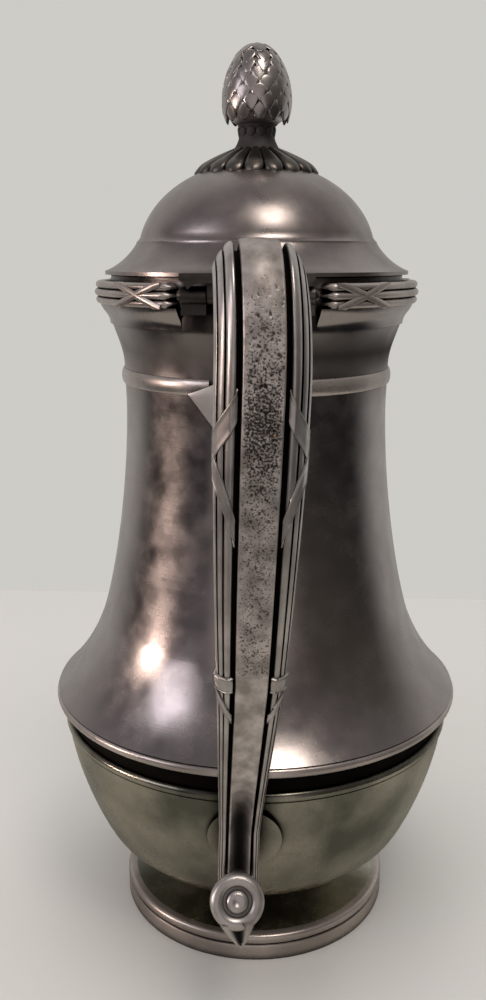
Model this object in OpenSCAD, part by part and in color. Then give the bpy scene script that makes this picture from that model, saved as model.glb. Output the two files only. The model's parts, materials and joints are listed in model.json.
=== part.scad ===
// Baluster coffee pot in silver plate: spun body and foot, hinged domed lid with
// a pine cone finial, reeded loop handle and swan-neck spout.
// Millimetres, +Z up. The origin is the centre of the foot's resting plane.
// The handle is towards -Y and the spout towards +Y.

/* [Body] */
// Height of the mouth's top edge above the table
mouth_h = 184.2; // [175:0.1:225]
// Outer radius of the wall at the mouth
mouth_r = 38.9; // [36:0.1:47]
// Outer radius of the slim part of the neck
waist_r = 35.7; // [29:0.1:37.5]
// How far the slim part of the neck lies below the mouth
waist_drop = 33.2; // [28:0.1:44]
// Outer radius of the body at the shoulder
shoulder_r = 57.5; // [52:0.1:70]
// Height of the seam between the shoulder bead and the body
shoulder_h = 69; // [60:0.1:80]
// Thickness of the spun sheet
wall = 1.1; // [0.7:0.05:1.8]

/* [Mouldings] */
// How far the reeded band stands out round the mouth
band_out = 4.4; // [3:0.1:6]
// Height of one reed of the band
reed_h = 1.95; // [1.4:0.05:2.4]
// Number of reeds in the band
reeds = 3; // [2:1:4]
// Height of the plain cove under the reeds
cove_h = 5.2; // [3:0.1:7]
// How far the neck ring stands out of the wall
neck_ring_out = 0.8; // [0.5:0.1:2]
// Height of the neck ring
neck_ring_h = 4.2; // [2.5:0.1:6]
// How far the neck ring's middle lies below the mouth
neck_ring_drop = 26.2; // [20:0.1:28]
// Height of the shoulder bead
shoulder_bead_h = 2.8; // [2:0.1:4]
// Height of the undercut groove below the shoulder bead
groove_h = 5.2; // [3:0.1:8]
// Depth of that groove behind the body's shoulder
groove_depth = 3.1; // [2:0.1:4]
// Height of the bead under the groove
bowl_bead_h = 2.9; // [2:0.1:4]

/* [Foot] */
// Outer radius of the foot
foot_r = 39.1; // [33:0.1:47]
// Radius of the foot's neck under the bowl
foot_neck_r = 23.2; // [18:0.1:28]
// Height of the bowl's underside above the table
bowl_h = 15; // [12:0.1:20]
// Height of the plain edge band of the foot
foot_edge_h = 4.7; // [3:0.1:6]
// Height of the bead above that band
foot_bead_h = 2.8; // [2:0.1:4]

/* [Lid] */
// How far the lid's thin edge reaches past the mouth
lid_over = 1.5; // [0.8:0.1:2]
// How far the dome stands in from the mouth
dome_in = 7.3; // [4:0.1:10]
// Height of the whole lid above the mouth, without its finial
lid_rise = 29; // [24:0.1:36]
// Depth of the bezel ring that drops into the mouth
bezel_depth = 6; // [4:0.1:9]
// Gap between the bezel and the mouth
bezel_gap = 0.4; // [0.3:0.05:0.6]
// Gap under the lid's edge
lid_gap = 0.3; // [0.25:0.05:0.5]

/* [Finial] */
// Largest radius of the pine cone
cone_r = 9.2; // [7:0.1:12]
// Height of the pine cone
cone_h = 19.6; // [16:0.1:26]
// Radius of the petal collar under the stem
petal_r = 16.4; // [13:0.1:19]
// Number of petals round the collar
petals = 18; // [12:1:20]
// Radius of the threaded stud that holds the finial
stud_r = 1.6; // [1.2:0.1:2]

/* [Hinge] */
// Length of the hinge barrel
barrel_len = 31; // [24:0.5:34]
// Radius of the hinge barrel
barrel_r = 2.1; // [1.8:0.05:2.4]
// Radius of the hinge pin
pin_r = 0.95; // [0.7:0.05:1.1]
// Radial running clearance of the pin in the lid's knuckle
pin_fit = 0.05; // [0.02:0.01:0.1]
// Gap between two knuckles
knuckle_gap = 0.3; // [0.2:0.05:0.5]
// Room left between each end of the barrel and the band
gap_room = 4.7; // [2:0.1:7]

/* [Handle] */
// How far the handle's centre line stands out past the shoulder at its widest
handle_out = 22.8; // [19:0.1:32]
// Height of the handle's crest above the mouth
crest_rise = 4.4; // [2:0.1:8]
// Half width of the handle at its widest
handle_half_w = 9.6; // [7:0.1:11]
// Half thickness of the handle at its crest
handle_half_t = 4.1; // [3.5:0.1:5]
// Half width of the plain strap at its widest
strap_half_w = 4.1; // [3:0.05:5]
// Thickness of the strap
strap_t = 1.5; // [1.2:0.1:2]
// How far the handle's upper end lies below the mouth
upper_root_drop = 30.7; // [26:0.1:36]
// How far the handle's lower end lies below the shoulder seam
lower_root_drop = 21.5; // [19:0.1:26]
// Angle by which the handle leans to one side about its two ends
handle_lean = 6.5; // [0:0.5:8]
// How far the handle's lower end sits to one side of the upper end
handle_offset = 1.5; // [0:0.1:2.5]
// Radius of the round plate under the handle's lower end
plate_r = 9.4; // [7:0.1:10]

/* [Spout] */
// Height of the spout's root above the shoulder seam
spout_root_up = 15; // [12:0.5:20]
// Angle of the spout's root above level
spout_root_tilt = 34; // [28:1:40]
// Outer radius of the spout's root
spout_root_r = 12.6; // [10:0.1:14]
// Outer radius of the spout at its tip
spout_tip_r = 5.1; // [4.2:0.1:7]
// How far the tip's centre stands out past the shoulder
spout_out = 21.8; // [14:0.1:36]
// How far the tip's centre lies below the mouth
spout_tip_drop = 10.2; // [2:0.1:24]
// Thickness of the spout's wall
spout_wall = 1.0; // [0.8:0.05:1.4]
// Radius of one strainer hole in the body wall behind the spout
strainer_r = 1.3; // [0.9:0.1:1.5]

/* [Hidden] */

round_fn = 96;
small_fn = 32;
silver = "silver";
grey_silver = [0.62, 0.60, 0.60];
dark_silver = [0.50, 0.50, 0.50];

// ---- curves ----------------------------------------------------------------
function bez(a, b, c, d, t) =
    pow(1 - t, 3) * a + 3 * t * pow(1 - t, 2) * b + 3 * t * t * (1 - t) * c + pow(t, 3) * d;
function curve(a, b, c, d, n) = [for (i = [0:n]) bez(a, b, c, d, i / n)];
function slope(a, b, c, d, t) =
    3 * (pow(1 - t, 2) * (b - a) + 2 * t * (1 - t) * (c - b) + t * t * (d - c));
function unit(v) = v / norm(v);
function left_of(v) = [-v[1], v[0]];
function mix(a, b, t) = a + (b - a) * t;
function ease(t) = t * t * (3 - 2 * t);
function reversed(list) = [for (i = [len(list) - 1:-1:0]) list[i]];
// The same line moved sideways by d, to its left as it runs
function beside(points, d) = [
    for (i = [0:len(points) - 1])
        let (before = points[max(i - 1, 0)], after = points[min(i + 1, len(points) - 1)])
        points[i] + d * left_of(unit(after - before))
];
// Half a circle that bulges outwards between two heights on a wall of radius r
function bulge(r, low, high, out, n = 8) = [
    for (i = [0:n]) [r + out * sin(180 * i / n), (low + high) / 2 - (high - low) / 2 * cos(180 * i / n)]
];
module turned(points, fn = round_fn) { rotate_extrude($fn = fn) polygon(points); }

// ---- body ------------------------------------------------------------------
band_r = mouth_r + band_out;
waist_h = mouth_h - waist_drop;
band_drop = 1.2;
cove_low = mouth_h - band_drop - reeds * reed_h - cove_h;
reeds_low = cove_low + cove_h;
reeds_high = reeds_low + reeds * reed_h;
ring_low = mouth_h - neck_ring_drop - neck_ring_h / 2;
ring_high = ring_low + neck_ring_h;
ring_seat_r = waist_r + 0.25;
flare_knee = [mix(waist_r, shoulder_r, 0.38), shoulder_h + 0.254 * (waist_h - shoulder_h)];
neck_top = curve([ring_seat_r, ring_high], [ring_seat_r, ring_high + 4.5],
                 [mouth_r - 1.5, cove_low - 4.5], [mouth_r, cove_low], 8);
neck_low = curve([waist_r, waist_h], [waist_r, mix(waist_h, flare_knee[1], 0.34)],
                 [mix(waist_r, flare_knee[0], 0.46), mix(waist_h, flare_knee[1], 0.77)],
                 flare_knee, 14);
flare = curve(flare_knee, flare_knee + [0.18, -0.53] * 0.25 * (waist_h - shoulder_h) / 2 + [0.6, -1.2],
              [mix(flare_knee[0], shoulder_r, 0.49), mix(flare_knee[1], shoulder_h, 0.69)],
              [shoulder_r, shoulder_h], 10);
body_outer = concat(
    [[mouth_r, mouth_h]],
    reversed(neck_top),
    [[ring_seat_r, ring_low]],
    neck_low,
    [for (i = [1:len(flare) - 1]) flare[i]]
);
body_inner_line = beside(body_outer, -wall);
body_inner = concat(
    [[mouth_r - wall, mouth_h]],
    [for (i = [1:len(body_outer) - 2]) body_inner_line[i]],
    [[shoulder_r - 1.6 * wall, shoulder_h]]
);
// The whole space out to the body's skin, moved out by extra
module body_space(extra = 0) {
    skin = beside(body_outer, extra);
    turned(concat([[0, mouth_h]], skin, [[0, shoulder_h]]));
}
// Radius of a skin line at height h; the line runs down from its first point
function skin_r(line, h, i = 0) =
    i == len(line) - 2 || line[i + 1][1] <= h
    ? mix(line[i][0], line[i + 1][0], (line[i][1] - h) / (line[i][1] - line[i + 1][1]))
    : skin_r(line, h, i + 1);
spout_dir = [cos(spout_root_tilt), sin(spout_root_tilt)];
spout_root_h = shoulder_h + spout_root_up;
spout_foot = [skin_r(body_outer, spout_root_h) - 0.9, spout_root_h];
module at_spout_root() {
    translate([0, spout_foot[0], spout_foot[1]]) rotate([spout_root_tilt - 90, 0, 0]) children();
}
strainer_pitch = 3.9;
strainer_holes = [
    for (row = [-2:2], col = [-2:2])
        let (p = [strainer_pitch * (col + 0.5 * row), strainer_pitch * row * sin(60)])
        if (norm(p) < 2.05 * strainer_pitch) p
];
module body() {
    color(grey_silver) difference() {
        turned(concat(body_outer, reversed(body_inner)));
        at_spout_root() for (p = strainer_holes)
            translate([p[0], p[1], -12]) cylinder(r = strainer_r, h = 24, $fn = small_fn);
    }
}

// ---- bowl and the mouldings at the seam -----------------------------------
groove_r = shoulder_r - groove_depth;
seam_h = shoulder_h - shoulder_bead_h;
bowl_bead_high = seam_h - groove_h;
bowl_bead_low = bowl_bead_high - bowl_bead_h;
bowl_side = curve([groove_r + 0.7, bowl_bead_low], [groove_r - 0.5, mix(bowl_bead_low, bowl_h, 0.22)],
                  [groove_r - 4.4, mix(bowl_bead_low, bowl_h, 0.5)],
                  [groove_r - 8.9, mix(bowl_bead_low, bowl_h, 0.7)], 10);
bowl_base = curve([groove_r - 8.9, mix(bowl_bead_low, bowl_h, 0.7)],
                  [groove_r - 11.5, mix(bowl_bead_low, bowl_h, 0.815)],
                  [foot_neck_r + 12.8, bowl_h + 1.2], [foot_neck_r + 0.3, bowl_h], 10);
bowl_outer = concat(
    [[groove_r, seam_h], [groove_r, bowl_bead_low]],
    bowl_side,
    [for (i = [1:len(bowl_base) - 1]) bowl_base[i]]
);
bowl_inner_line = beside(bowl_outer, -wall);
bowl_inner = concat(
    [[groove_r - wall, seam_h], [groove_r - wall, bowl_bead_low]],
    [for (i = [3:len(bowl_outer) - 2]) bowl_inner_line[i]],
    [[foot_neck_r, bowl_h + wall]]
);
module bowl_space(extra = 0) {
    skin = beside(bowl_outer, extra);
    turned(concat([[0, seam_h]], [for (i = [2:len(skin) - 1]) skin[i]], [[0, bowl_h]]));
}
module bowl() {
    color(dark_silver)
        turned(concat(bowl_outer, [[0, bowl_h], [0, bowl_h + wall]], reversed(bowl_inner)));
}
module shoulder_bead() {
    nose = bulge(shoulder_r - 0.6, seam_h, shoulder_h - 0.25, 1.1);
    color(silver) turned(concat(
        [[groove_r - wall, seam_h]], nose,
        [[shoulder_r, shoulder_h], [shoulder_r - 1.6 * wall, shoulder_h]]
    ));
}
module bowl_bead() {
    color(silver) turned(bulge(groove_r, bowl_bead_low, bowl_bead_high, 1.35));
}
module neck_ring() {
    color(silver) difference() {
        turned(bulge(ring_seat_r, ring_low, ring_high, neck_ring_out));
        leaf_outline();
    }
}

// ---- the mouth's reeded band, cut away at the hinge ------------------------
hinge_y = -(mouth_r + 0.45 + barrel_r);
hinge_z = mouth_h - 3.8;
gap_angle = atan((barrel_len / 2 + gap_room) / -hinge_y);
module hinge_gap(half_angle) {
    reach = 2 * band_r;
    translate([0, 0, cove_low - 5]) linear_extrude(mouth_h - cove_low + 10)
        polygon([[0, 0], reach * [-sin(half_angle), -cos(half_angle)],
                 reach * [sin(half_angle), -cos(half_angle)]]);
}
reed_lines = [for (k = [0:reeds - 1]) each
    bulge(band_r - 0.9 - 0.35 * abs(k - (reeds - 1) / 2), reeds_low + k * reed_h,
          reeds_low + (k + 1) * reed_h, 0.9, 6)];
module rim_band() {
    color(silver) difference() {
        turned(concat([[mouth_r, reeds_low]], reed_lines, [[mouth_r, reeds_high]]));
        hinge_gap(gap_angle);
    }
}
cove_line = curve([mouth_r + 0.5, cove_low], [mouth_r + 0.7, cove_low + 0.5 * cove_h],
                  [band_r - 1.9, reeds_low - 0.4 * cove_h], [band_r - 1.4, reeds_low], 8);
module rim_cove() {
    color(grey_silver) difference() {
        turned(concat([[mouth_r, cove_low]], cove_line, [[mouth_r, reeds_low]]));
        hinge_gap(gap_angle - 2);
    }
}

// ---- foot ------------------------------------------------------------------
skirt_r = foot_r - 2.6;
foot_seat_r = foot_neck_r - 7;
foot_top = foot_edge_h + foot_bead_h;
skirt = curve([skirt_r, foot_top], [mix(skirt_r, foot_neck_r, 0.5), foot_top + 0.5],
              [foot_neck_r + 1, foot_top + 1.8], [foot_neck_r, bowl_h], 10);
skirt_inner_line = beside(skirt, wall);
module foot() {
    color(grey_silver) turned(concat(
        [[skirt_r, 0.5]], skirt,
        [[foot_seat_r, bowl_h], [foot_seat_r, bowl_h - wall]],
        [for (i = [len(skirt) - 2:-1:1]) skirt_inner_line[i]],
        [[skirt_r - wall, foot_top - wall], [skirt_r - wall, 0.5]]
    ));
}
module foot_edge() {
    color(silver) turned(concat(
        [[skirt_r, 0], [foot_r - 0.3, 0], [foot_r, 0.3], [foot_r, foot_edge_h - 0.2]],
        bulge(foot_r - 1.0, foot_edge_h, foot_top, 1.0),
        [[skirt_r, foot_top]]
    ));
}

// ---- handle ----------------------------------------------------------------
upper_root_h = mouth_h - upper_root_drop;
lower_root_h = shoulder_h - lower_root_drop;
crest_h = mouth_h + crest_rise;
limb_h = crest_h - lower_root_h;
upper_root = [waist_r + 5.8, upper_root_h];
bend_r = 4.8;
bend_centre = [shoulder_r + 6.7, lower_root_h - 4.2];
limb_foot = [bend_centre[0] - bend_r, lower_root_h + 6.5];
bend_end = 120;
knee_up = 50.2;
crest = [mouth_r + 29.1, crest_h];
limb_wide = [shoulder_r + handle_out, crest_h - 0.17 * limb_h];
limb_knee = [shoulder_r + 0.55 * handle_out, lower_root_h + knee_up];
steps = 11;
// Centre line of the handle in the (distance, height) plane: place and direction
function arc_station(a) = [bend_centre + bend_r * [-cos(a), -sin(a)], [sin(a), -cos(a)]];
function run(a, b, c, d, first) =
    [for (i = [first:steps]) [bez(a, b, c, d, i / steps), unit(slope(a, b, c, d, i / steps))]];
handle_line = concat(
    run(upper_root, upper_root + [mouth_r - waist_r + 5.3, 9.5], crest + [-16, 0], crest, 0),
    run(crest, crest + [9.5, 0], limb_wide + [0.2, 0.092 * limb_h], limb_wide, 1),
    run(limb_wide, limb_wide + [-0.2, -0.12 * limb_h], limb_knee + limb_h * [0.028, 0.141], limb_knee, 1),
    run(limb_knee, limb_knee - [3.5, 17.5], limb_foot + [0.6, 12], limb_foot, 1),
    [for (a = [0:15:bend_end]) arc_station(a)]
);
stations = len(handle_line);
// Sizes at the ends of the handle's stretches: root, crest, widest, knee, foot, scroll
half_widths = [4.6, handle_half_w - 0.3, handle_half_w + 0.1, 0.8 * handle_half_w, 5.0, 5.0];
half_depths = [3.4, handle_half_t, handle_half_t - 0.1, handle_half_t - 0.7, 2.8, 2.6];
strap_widths = [2.2, strap_half_w, strap_half_w + 0.1, 0.88 * strap_half_w, 2.7, 2.5];
groove_widths = [0.5, 0.9, 0.9, 0.8, 0.45, 0.45];
// Slight sideways bend of the centre line at the same places
sways = [0, -0.45, 0.45, 0.8, 0, 0];
function taper(k, t) = k == 2 ? pow(t, 1.6) : k == 3 ? pow(t, 0.9) : ease(t);
function along(sizes, i) =
    let (k = min(floor(i / steps), 4),
         span = k < 4 ? steps : stations - 1 - 4 * steps,
         t = (i - k * steps) / span)
    mix(sizes[k], sizes[k + 1], taper(k, min(t, 1)));
// Right half of the handle's section, from the channel's floor round to the back
function half_section(i) =
    let (w = along(half_widths, i), t = along(half_depths, i),
         inner = along(strap_widths, i) + along(groove_widths, i),
         side = w - inner, a = inner + 0.5 * side, b = inner + 0.82 * side,
         sink = min(1, side / 3))
    [
        [inner, t - strap_t], [inner, t - 0.75],
        [inner + 0.14 * side, t - 0.4], [inner + 0.32 * side, t - 0.42],
        [a - 0.05 * side, t - 0.4 - 0.7 * sink], [a, t - 0.4 - 1.2 * sink],
        [a + 0.07 * side, t - 0.4 - 0.75 * sink], [a + 0.2 * side, t - 0.4 - 0.8 * sink],
        [b - 0.02 * side, t - 0.4 - 1.6 * sink], [b + 0.03 * side, t - 0.4 - 1.7 * sink],
        [w - 0.06 * side, t - 0.4 - 1.9 * sink], [w, t - 0.4 - 2.5 * sink],
        [w - 0.05, 0], [w - 0.5, -0.72 * t], [w - 1.6, -t]
    ];
function section(i) =
    let (half = half_section(i))
    concat([for (p = reversed(half)) [-p[0], p[1]]], half);
function place(i, p) =
    let (s = handle_line[i], out = left_of(s[1]), at = s[0] + out * p[1])
    [p[0] + along(sways, i), -at[0], at[1]];
// A solid skinned over one closed section per station
module skinned(rings) {
    n = len(rings[0]);
    m = len(rings);
    sides = [for (i = [0:m - 2], j = [0:n - 1])
        let (k = (j + 1) % n) each
        [[i * n + j, i * n + k, (i + 1) * n + k], [i * n + j, (i + 1) * n + k, (i + 1) * n + j]]];
    polyhedron(points = [for (ring = rings) each ring],
               faces = concat([[for (j = [n - 1:-1:0]) j]], sides,
                              [[for (j = [0:n - 1]) (m - 1) * n + j]]));
}
lower_face = groove_r + 1.1;
upper_foot = [0, -upper_root[0], upper_root[1]];
lower_foot = [0, -lower_face, lower_root_h];
offset_angle = atan(handle_offset / (upper_root_h - lower_root_h));
// The handle and what is fixed to it lean about the line through its two ends,
// and that line is turned about the upper end to carry the lower end sideways
module leaning() {
    translate(upper_foot) rotate([0, offset_angle, 0])
        rotate(a = handle_lean, v = upper_foot - lower_foot) translate(-upper_foot) children();
}
module handle() {
    color(silver) leaning() union() {
        skinned([for (i = [0:stations - 1]) [for (p = section(i)) place(i, p)]]);
        translate(lower_foot) rotate([90, 0, 0]) cylinder(r = 3.6, h = 2.6, $fn = small_fn);
    }
}
strap_last = 4 * steps - 1;
function strap_section(i) =
    let (b = along(strap_widths, i), t = along(half_depths, i))
    [[-b, t - strap_t], [b, t - strap_t], [b, t - 0.2], [0.85 * b, t + 0.02], [0.45 * b, t + 0.2],
     [0, t + 0.25], [-0.45 * b, t + 0.2], [-0.85 * b, t + 0.02], [-b, t - 0.2]];
module handle_strap() {
    color(silver) leaning()
        skinned([for (i = [0:strap_last]) [for (p = reversed(strap_section(i))) place(i, p)]]);
}

// ---- the plates that carry the handle -------------------------------------
plate_t = 1.3;
lower_boss_len = 9;
leaf_w = 15;
leaf_tip = 4;
leaf_up = 11;
leaf_down = 15.5;
function leaf_edge(a, b, c) = curve(a, mix(a, c, 0.55), mix(b, c, 0.55), b, 6);
leaf_points = concat(
    leaf_edge([leaf_w, leaf_tip], [0, leaf_up], [6.5, leaf_tip + 3]),
    leaf_edge([0, leaf_up], [-leaf_w, leaf_tip], [-6.5, leaf_tip + 3]),
    leaf_edge([-leaf_w, leaf_tip], [0, -leaf_down], [-8.5, -4]),
    leaf_edge([0, -leaf_down], [leaf_w, leaf_tip], [8.5, -4])
);
module leaf_outline() {
    translate([0, 0, upper_root_h - 1]) rotate([90, 0, 0]) linear_extrude(60) polygon(leaf_points);
}
module upper_plate() {
    start = handle_line[0];
    tilt = atan2(start[1][1], start[1][0]);
    color(silver) difference() {
        union() {
            intersection() {
                body_space(plate_t);
                leaf_outline();
            }
            leaning() translate(upper_foot) rotate([90 - tilt, 0, 0])
                translate([0, 0, -9]) cylinder(r = 5.2, h = 9, $fn = 48);
        }
        body_space();
    }
}
module lower_plate() {
    color(silver) difference() {
        union() {
            intersection() {
                bowl_space(plate_t);
                translate([0, -30, lower_root_h]) rotate([90, 0, 0])
                    cylinder(r = plate_r, h = 40, $fn = 64);
            }
            leaning() translate(lower_foot) rotate([-90, 0, 0])
                cylinder(r = 4.4, h = lower_boss_len, $fn = 48);
        }
        bowl_space();
    }
}
collar_r = 6.5;
collar_t = 3.6;
collar_shift = -0.6;
boss_seat_r = 3.6;
boss_r = 2.65;
tip_len = 9.6;
tip_lean = 6;
tip_turn = 8;
scroll_face = arc_station(bend_end)[0];
module at_scroll() {
    leaning() translate([collar_shift, -scroll_face[0], scroll_face[1]])
        rotate([180 - bend_end, 0, 0]) children();
}
module scroll_end() {
    color(silver) at_scroll() difference() {
        union() {
            cylinder(r1 = collar_r - 0.5, r2 = collar_r, h = 0.8, $fn = 48);
            translate([0, 0, 0.8]) cylinder(r = collar_r, h = collar_t - 1.4, $fn = 48);
            translate([0, 0, collar_t - 0.6])
                cylinder(r1 = collar_r, r2 = collar_r - 0.6, h = 0.6, $fn = 48);
            translate([0, 3 - collar_r, 0.5 * collar_t]) rotate([bend_end + tip_lean, 0, 0])
                rotate([0, tip_turn, 0]) cylinder(r1 = 4.2, r2 = 0.5, h = tip_len, $fn = small_fn);
        }
        translate([0, 0, collar_t - 1.2]) cylinder(r = boss_seat_r, h = 2, $fn = 48);
        translate([-collar_r, -half_depths[5] - 0.1, -collar_r])
            cube([2 * collar_r, 2 * collar_r, collar_r]);
    }
}
module scroll_boss() {
    color(silver) at_scroll() translate([0, 0, collar_t - 1.2]) {
        cylinder(r = boss_r, h = 0.8, $fn = 48);
        translate([0, 0, 0.8]) cylinder(r1 = boss_r, r2 = 0.6 * boss_r, h = 0.7, $fn = 48);
    }
}

// ---- spout -----------------------------------------------------------------
socket_len = 6;
spout_start = spout_foot + socket_len * spout_dir;
spout_reach = shoulder_r + spout_out;
spout_tip_h = mouth_h - spout_tip_drop;
spout_tip = [spout_reach, spout_tip_h];
tip_dir = unit([0.62, 0.78]);
spout_mid = [mix(spout_start[0], spout_reach, 0.6), mix(spout_start[1], spout_tip_h, 0.52)];
spout_steps = 14;
spout_line = concat(
    [for (i = [0:spout_steps]) let (t = i / spout_steps,
        a = spout_start, b = spout_start + 15 * spout_dir, c = spout_mid - [0, 18], d = spout_mid)
        [bez(a, b, c, d, t), unit(slope(a, b, c, d, t))]],
    [for (i = [1:spout_steps]) let (t = i / spout_steps,
        a = spout_mid, b = spout_mid + [0, 18], c = spout_tip - 12 * tip_dir, d = spout_tip)
        [bez(a, b, c, d, t), unit(slope(a, b, c, d, t))]]
);
spout_sides = 28;
function spout_radius(i) =
    let (t = i / (len(spout_line) - 1)) mix(spout_tip_r, spout_root_r, pow(1 - t, 1.7));
function spout_ring(i, r) =
    let (s = spout_line[i], out = left_of(s[1]))
    [for (k = [0:spout_sides - 1]) let (a = 360 * k / spout_sides, at = s[0] + out * r * sin(a))
        [r * cos(a), at[0], at[1]]];
module spout() {
    last = len(spout_line) - 1;
    n = spout_sides;
    outer = [for (i = [0:last]) spout_ring(i, spout_radius(i))];
    inner = [for (i = [0:last]) spout_ring(i, spout_radius(i) - spout_wall)];
    base = (last + 1) * n;
    function wall_faces(from, flip) = [for (i = [0:last - 1], j = [0:n - 1])
        let (k = (j + 1) % n, a = from + i * n + j, b = from + i * n + k,
             c = from + (i + 1) * n + k, d = from + (i + 1) * n + j) each
        flip ? [[a, b, c], [a, c, d]] : [[a, c, b], [a, d, c]]];
    function end_faces(i, flip) = [for (j = [0:n - 1])
        let (k = (j + 1) % n, a = i * n + j, b = i * n + k, c = base + i * n + k, d = base + i * n + j) each
        flip ? [[a, b, c], [a, c, d]] : [[a, c, b], [a, d, c]]];
    color(grey_silver) polyhedron(
        points = concat([for (ring = outer) each ring], [for (ring = inner) each ring]),
        faces = concat(wall_faces(0, false), wall_faces(base, true),
                       end_faces(0, true), end_faces(last, false)));
}
module spout_socket() {
    color(silver) difference() {
        at_spout_root() translate([0, 0, -10]) {
            cylinder(r = spout_root_r + 0.9, h = 10 + socket_len - 1.6, $fn = 64);
            cylinder(r = spout_root_r, h = 10 + socket_len, $fn = 64);
        }
        body_space();
        cylinder(r = shoulder_r, h = shoulder_h, $fn = round_fn);
        at_spout_root() translate([0, 0, -12])
            cylinder(r = spout_root_r - spout_wall, h = 14 + socket_len, $fn = 64);
    }
}
module spout_lip() {
    color(silver) translate([0, spout_tip[0], spout_tip[1]])
        rotate([atan2(tip_dir[1], tip_dir[0]) - 90, 0, 0])
        rotate_extrude($fn = 48)
            polygon(concat([[spout_tip_r - spout_wall, 0]], bulge(spout_tip_r - 0.1, 0, 1.8, 0.6, 6),
                           [[spout_tip_r - spout_wall, 1.8]]));
}

// ---- lid -------------------------------------------------------------------
lid_r = mouth_r + lid_over;
dome_r = mouth_r - dome_in;
lid_low = mouth_h + lid_gap;
lid_top = mouth_h + lid_rise;
dome_c = mouth_h + 4.8;
dome_foot_h = mouth_h + 9.6;
lid_wall = 1.0;
function dome_at(h) = dome_r * sqrt(1 - pow((h - dome_c) / (lid_top - dome_c), 2));
dome_start = asin((dome_foot_h - dome_c) / (lid_top - dome_c));
function dome_arc(inset, last) = [for (i = [0:14]) let (a = mix(dome_start, last, i / 14))
    [(dome_r - inset) * cos(a), dome_c + (lid_top - dome_c - inset) * sin(a)]];
flange_top = [dome_r + 0.4, mouth_h + 8.2];
flange = curve([lid_r, lid_low + 0.9], [lid_r - 3.7, lid_low + 2.1], flange_top + [1.2, -2.2], flange_top, 9);
flange_inner_line = beside(flange, lid_wall);
stud_hole_r = stud_r + 0.15;
stud_hole_angle = acos(stud_hole_r / dome_r);
module lid_cover() {
    outer = concat([[lid_r, lid_low]], flange, [[dome_r + 0.1, flange_top[1] + 0.5]],
                   dome_arc(0, stud_hole_angle));
    inner = concat([for (i = [2:len(flange) - 1]) flange_inner_line[i]], dome_arc(lid_wall, stud_hole_angle));
    color(grey_silver) difference() {
        turned(concat(outer, reversed(inner),
                      [[mouth_r - wall - bezel_gap, lid_low + 0.9], [mouth_r - wall - bezel_gap, lid_low]]));
        translate([0, 0, lid_low]) cylinder(r = stud_hole_r, h = lid_rise + 5, $fn = 48);
    }
}
bezel_r = mouth_r - wall - bezel_gap;
bezel_cut = 58;
// The bezel stops short of the hinge on both sides, or it would strike the mouth as the lid swings
module lid_bezel() {
    color(silver) difference() {
        turned([
            [bezel_r - 0.9, lid_low - bezel_depth], [bezel_r - 0.3, lid_low - bezel_depth],
            [bezel_r, lid_low - bezel_depth + 0.6], [bezel_r, lid_low + 0.9], [bezel_r - 0.9, lid_low + 0.9]
        ]);
        hinge_gap(bezel_cut);
    }
}

// ---- finial ----------------------------------------------------------------
collar_h = 2.4;
stem_h = 7.2;
stem_low = lid_top + 2.1;
cone_low = stem_low + stem_h;
function dome_top_at(r) = dome_c + (lid_top - dome_c) * sqrt(1 - pow(r / dome_r, 2));
petal_line = [for (i = [0:8]) let (r = mix(petal_r - 1, stud_hole_r, i / 8)) [r, dome_top_at(r)]];
module petal_collar() {
    petal_size = petal_r * sin(180 / petals);
    edge_r = petal_r - petal_size;
    edge_h = dome_top_at(edge_r);
    color(silver) difference() {
        union() {
            turned(concat([[petal_line[0][0] - 1.5, petal_line[0][1] + 1.6],
                           [7.5, lid_top + 1.1], [7.2, stem_low], [stud_hole_r, stem_low]],
                          [[stud_hole_r, lid_top - 3], [petal_line[0][0] - 1.5, lid_top - 6]]));
            for (k = [0:petals - 1]) rotate([0, 0, 360 * (k + 0.5) / petals])
                translate([edge_r, 0, edge_h + 0.3]) sphere(r = petal_size, $fn = 24);
        }
        turned(concat([[0, dome_top_at(0)]], reversed(petal_line),
                      [for (i = [1:4]) let (r = petal_r - 1 + i) [r, dome_top_at(r)]],
                      [[petal_r + 3, lid_low], [0, lid_low]]));
        cylinder(r = stud_hole_r, h = lid_top + 20, $fn = 48);
    }
}
stem_line = curve([6.9, stem_low], [4.6, stem_low + 2.2], [4.4, stem_low + 4.4], [4.7, cone_low - 1.6], 8);
cone_line = concat(
    [[5.2, cone_low - 0.5], [cone_r - 1.6, cone_low + 0.8]],
    curve([cone_r - 0.5, cone_low + 2], [cone_r + 1.1, cone_low + 0.33 * cone_h],
          [cone_r - 1.6, cone_low + 0.82 * cone_h], [0.9, cone_low + cone_h], 12)
);
stud_deep = 7;
module finial() {
    color(silver) difference() {
        turned(concat([[0, stem_low]], stem_line, cone_line, [[0, cone_low + cone_h + 0.2]]));
        translate([0, 0, stem_low - 1]) cylinder(r = stud_r, h = stud_deep + 1, $fn = 48);
    }
}
washer_t = 1;
nut_h = 3;
washer_high = lid_top - lid_wall - 0.9;
module finial_washer() {
    color(grey_silver) difference() {
        translate([0, 0, washer_high - washer_t]) cylinder(r = 5.5, h = washer_t + 2, $fn = 48);
        turned(concat(dome_arc(lid_wall, stud_hole_angle), [[0, lid_top - lid_wall], [0, lid_top + 5],
                      [dome_r, lid_top + 5], [dome_r, dome_foot_h]]));
        cylinder(r = stud_hole_r, h = lid_top + 20, $fn = 48);
    }
}
module finial_nut() {
    color("gold") translate([0, 0, washer_high - washer_t - nut_h]) difference() {
        cylinder(r = 4.2, h = nut_h, $fn = 6);
        translate([0, 0, -1]) cylinder(r = stud_r, h = nut_h + 2, $fn = 48);
    }
}
module finial_stud() {
    low = washer_high - washer_t - nut_h - 1.5;
    color("gold") translate([0, 0, low]) cylinder(r = stud_r, h = stem_low + stud_deep - low, $fn = 48);
}

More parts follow.
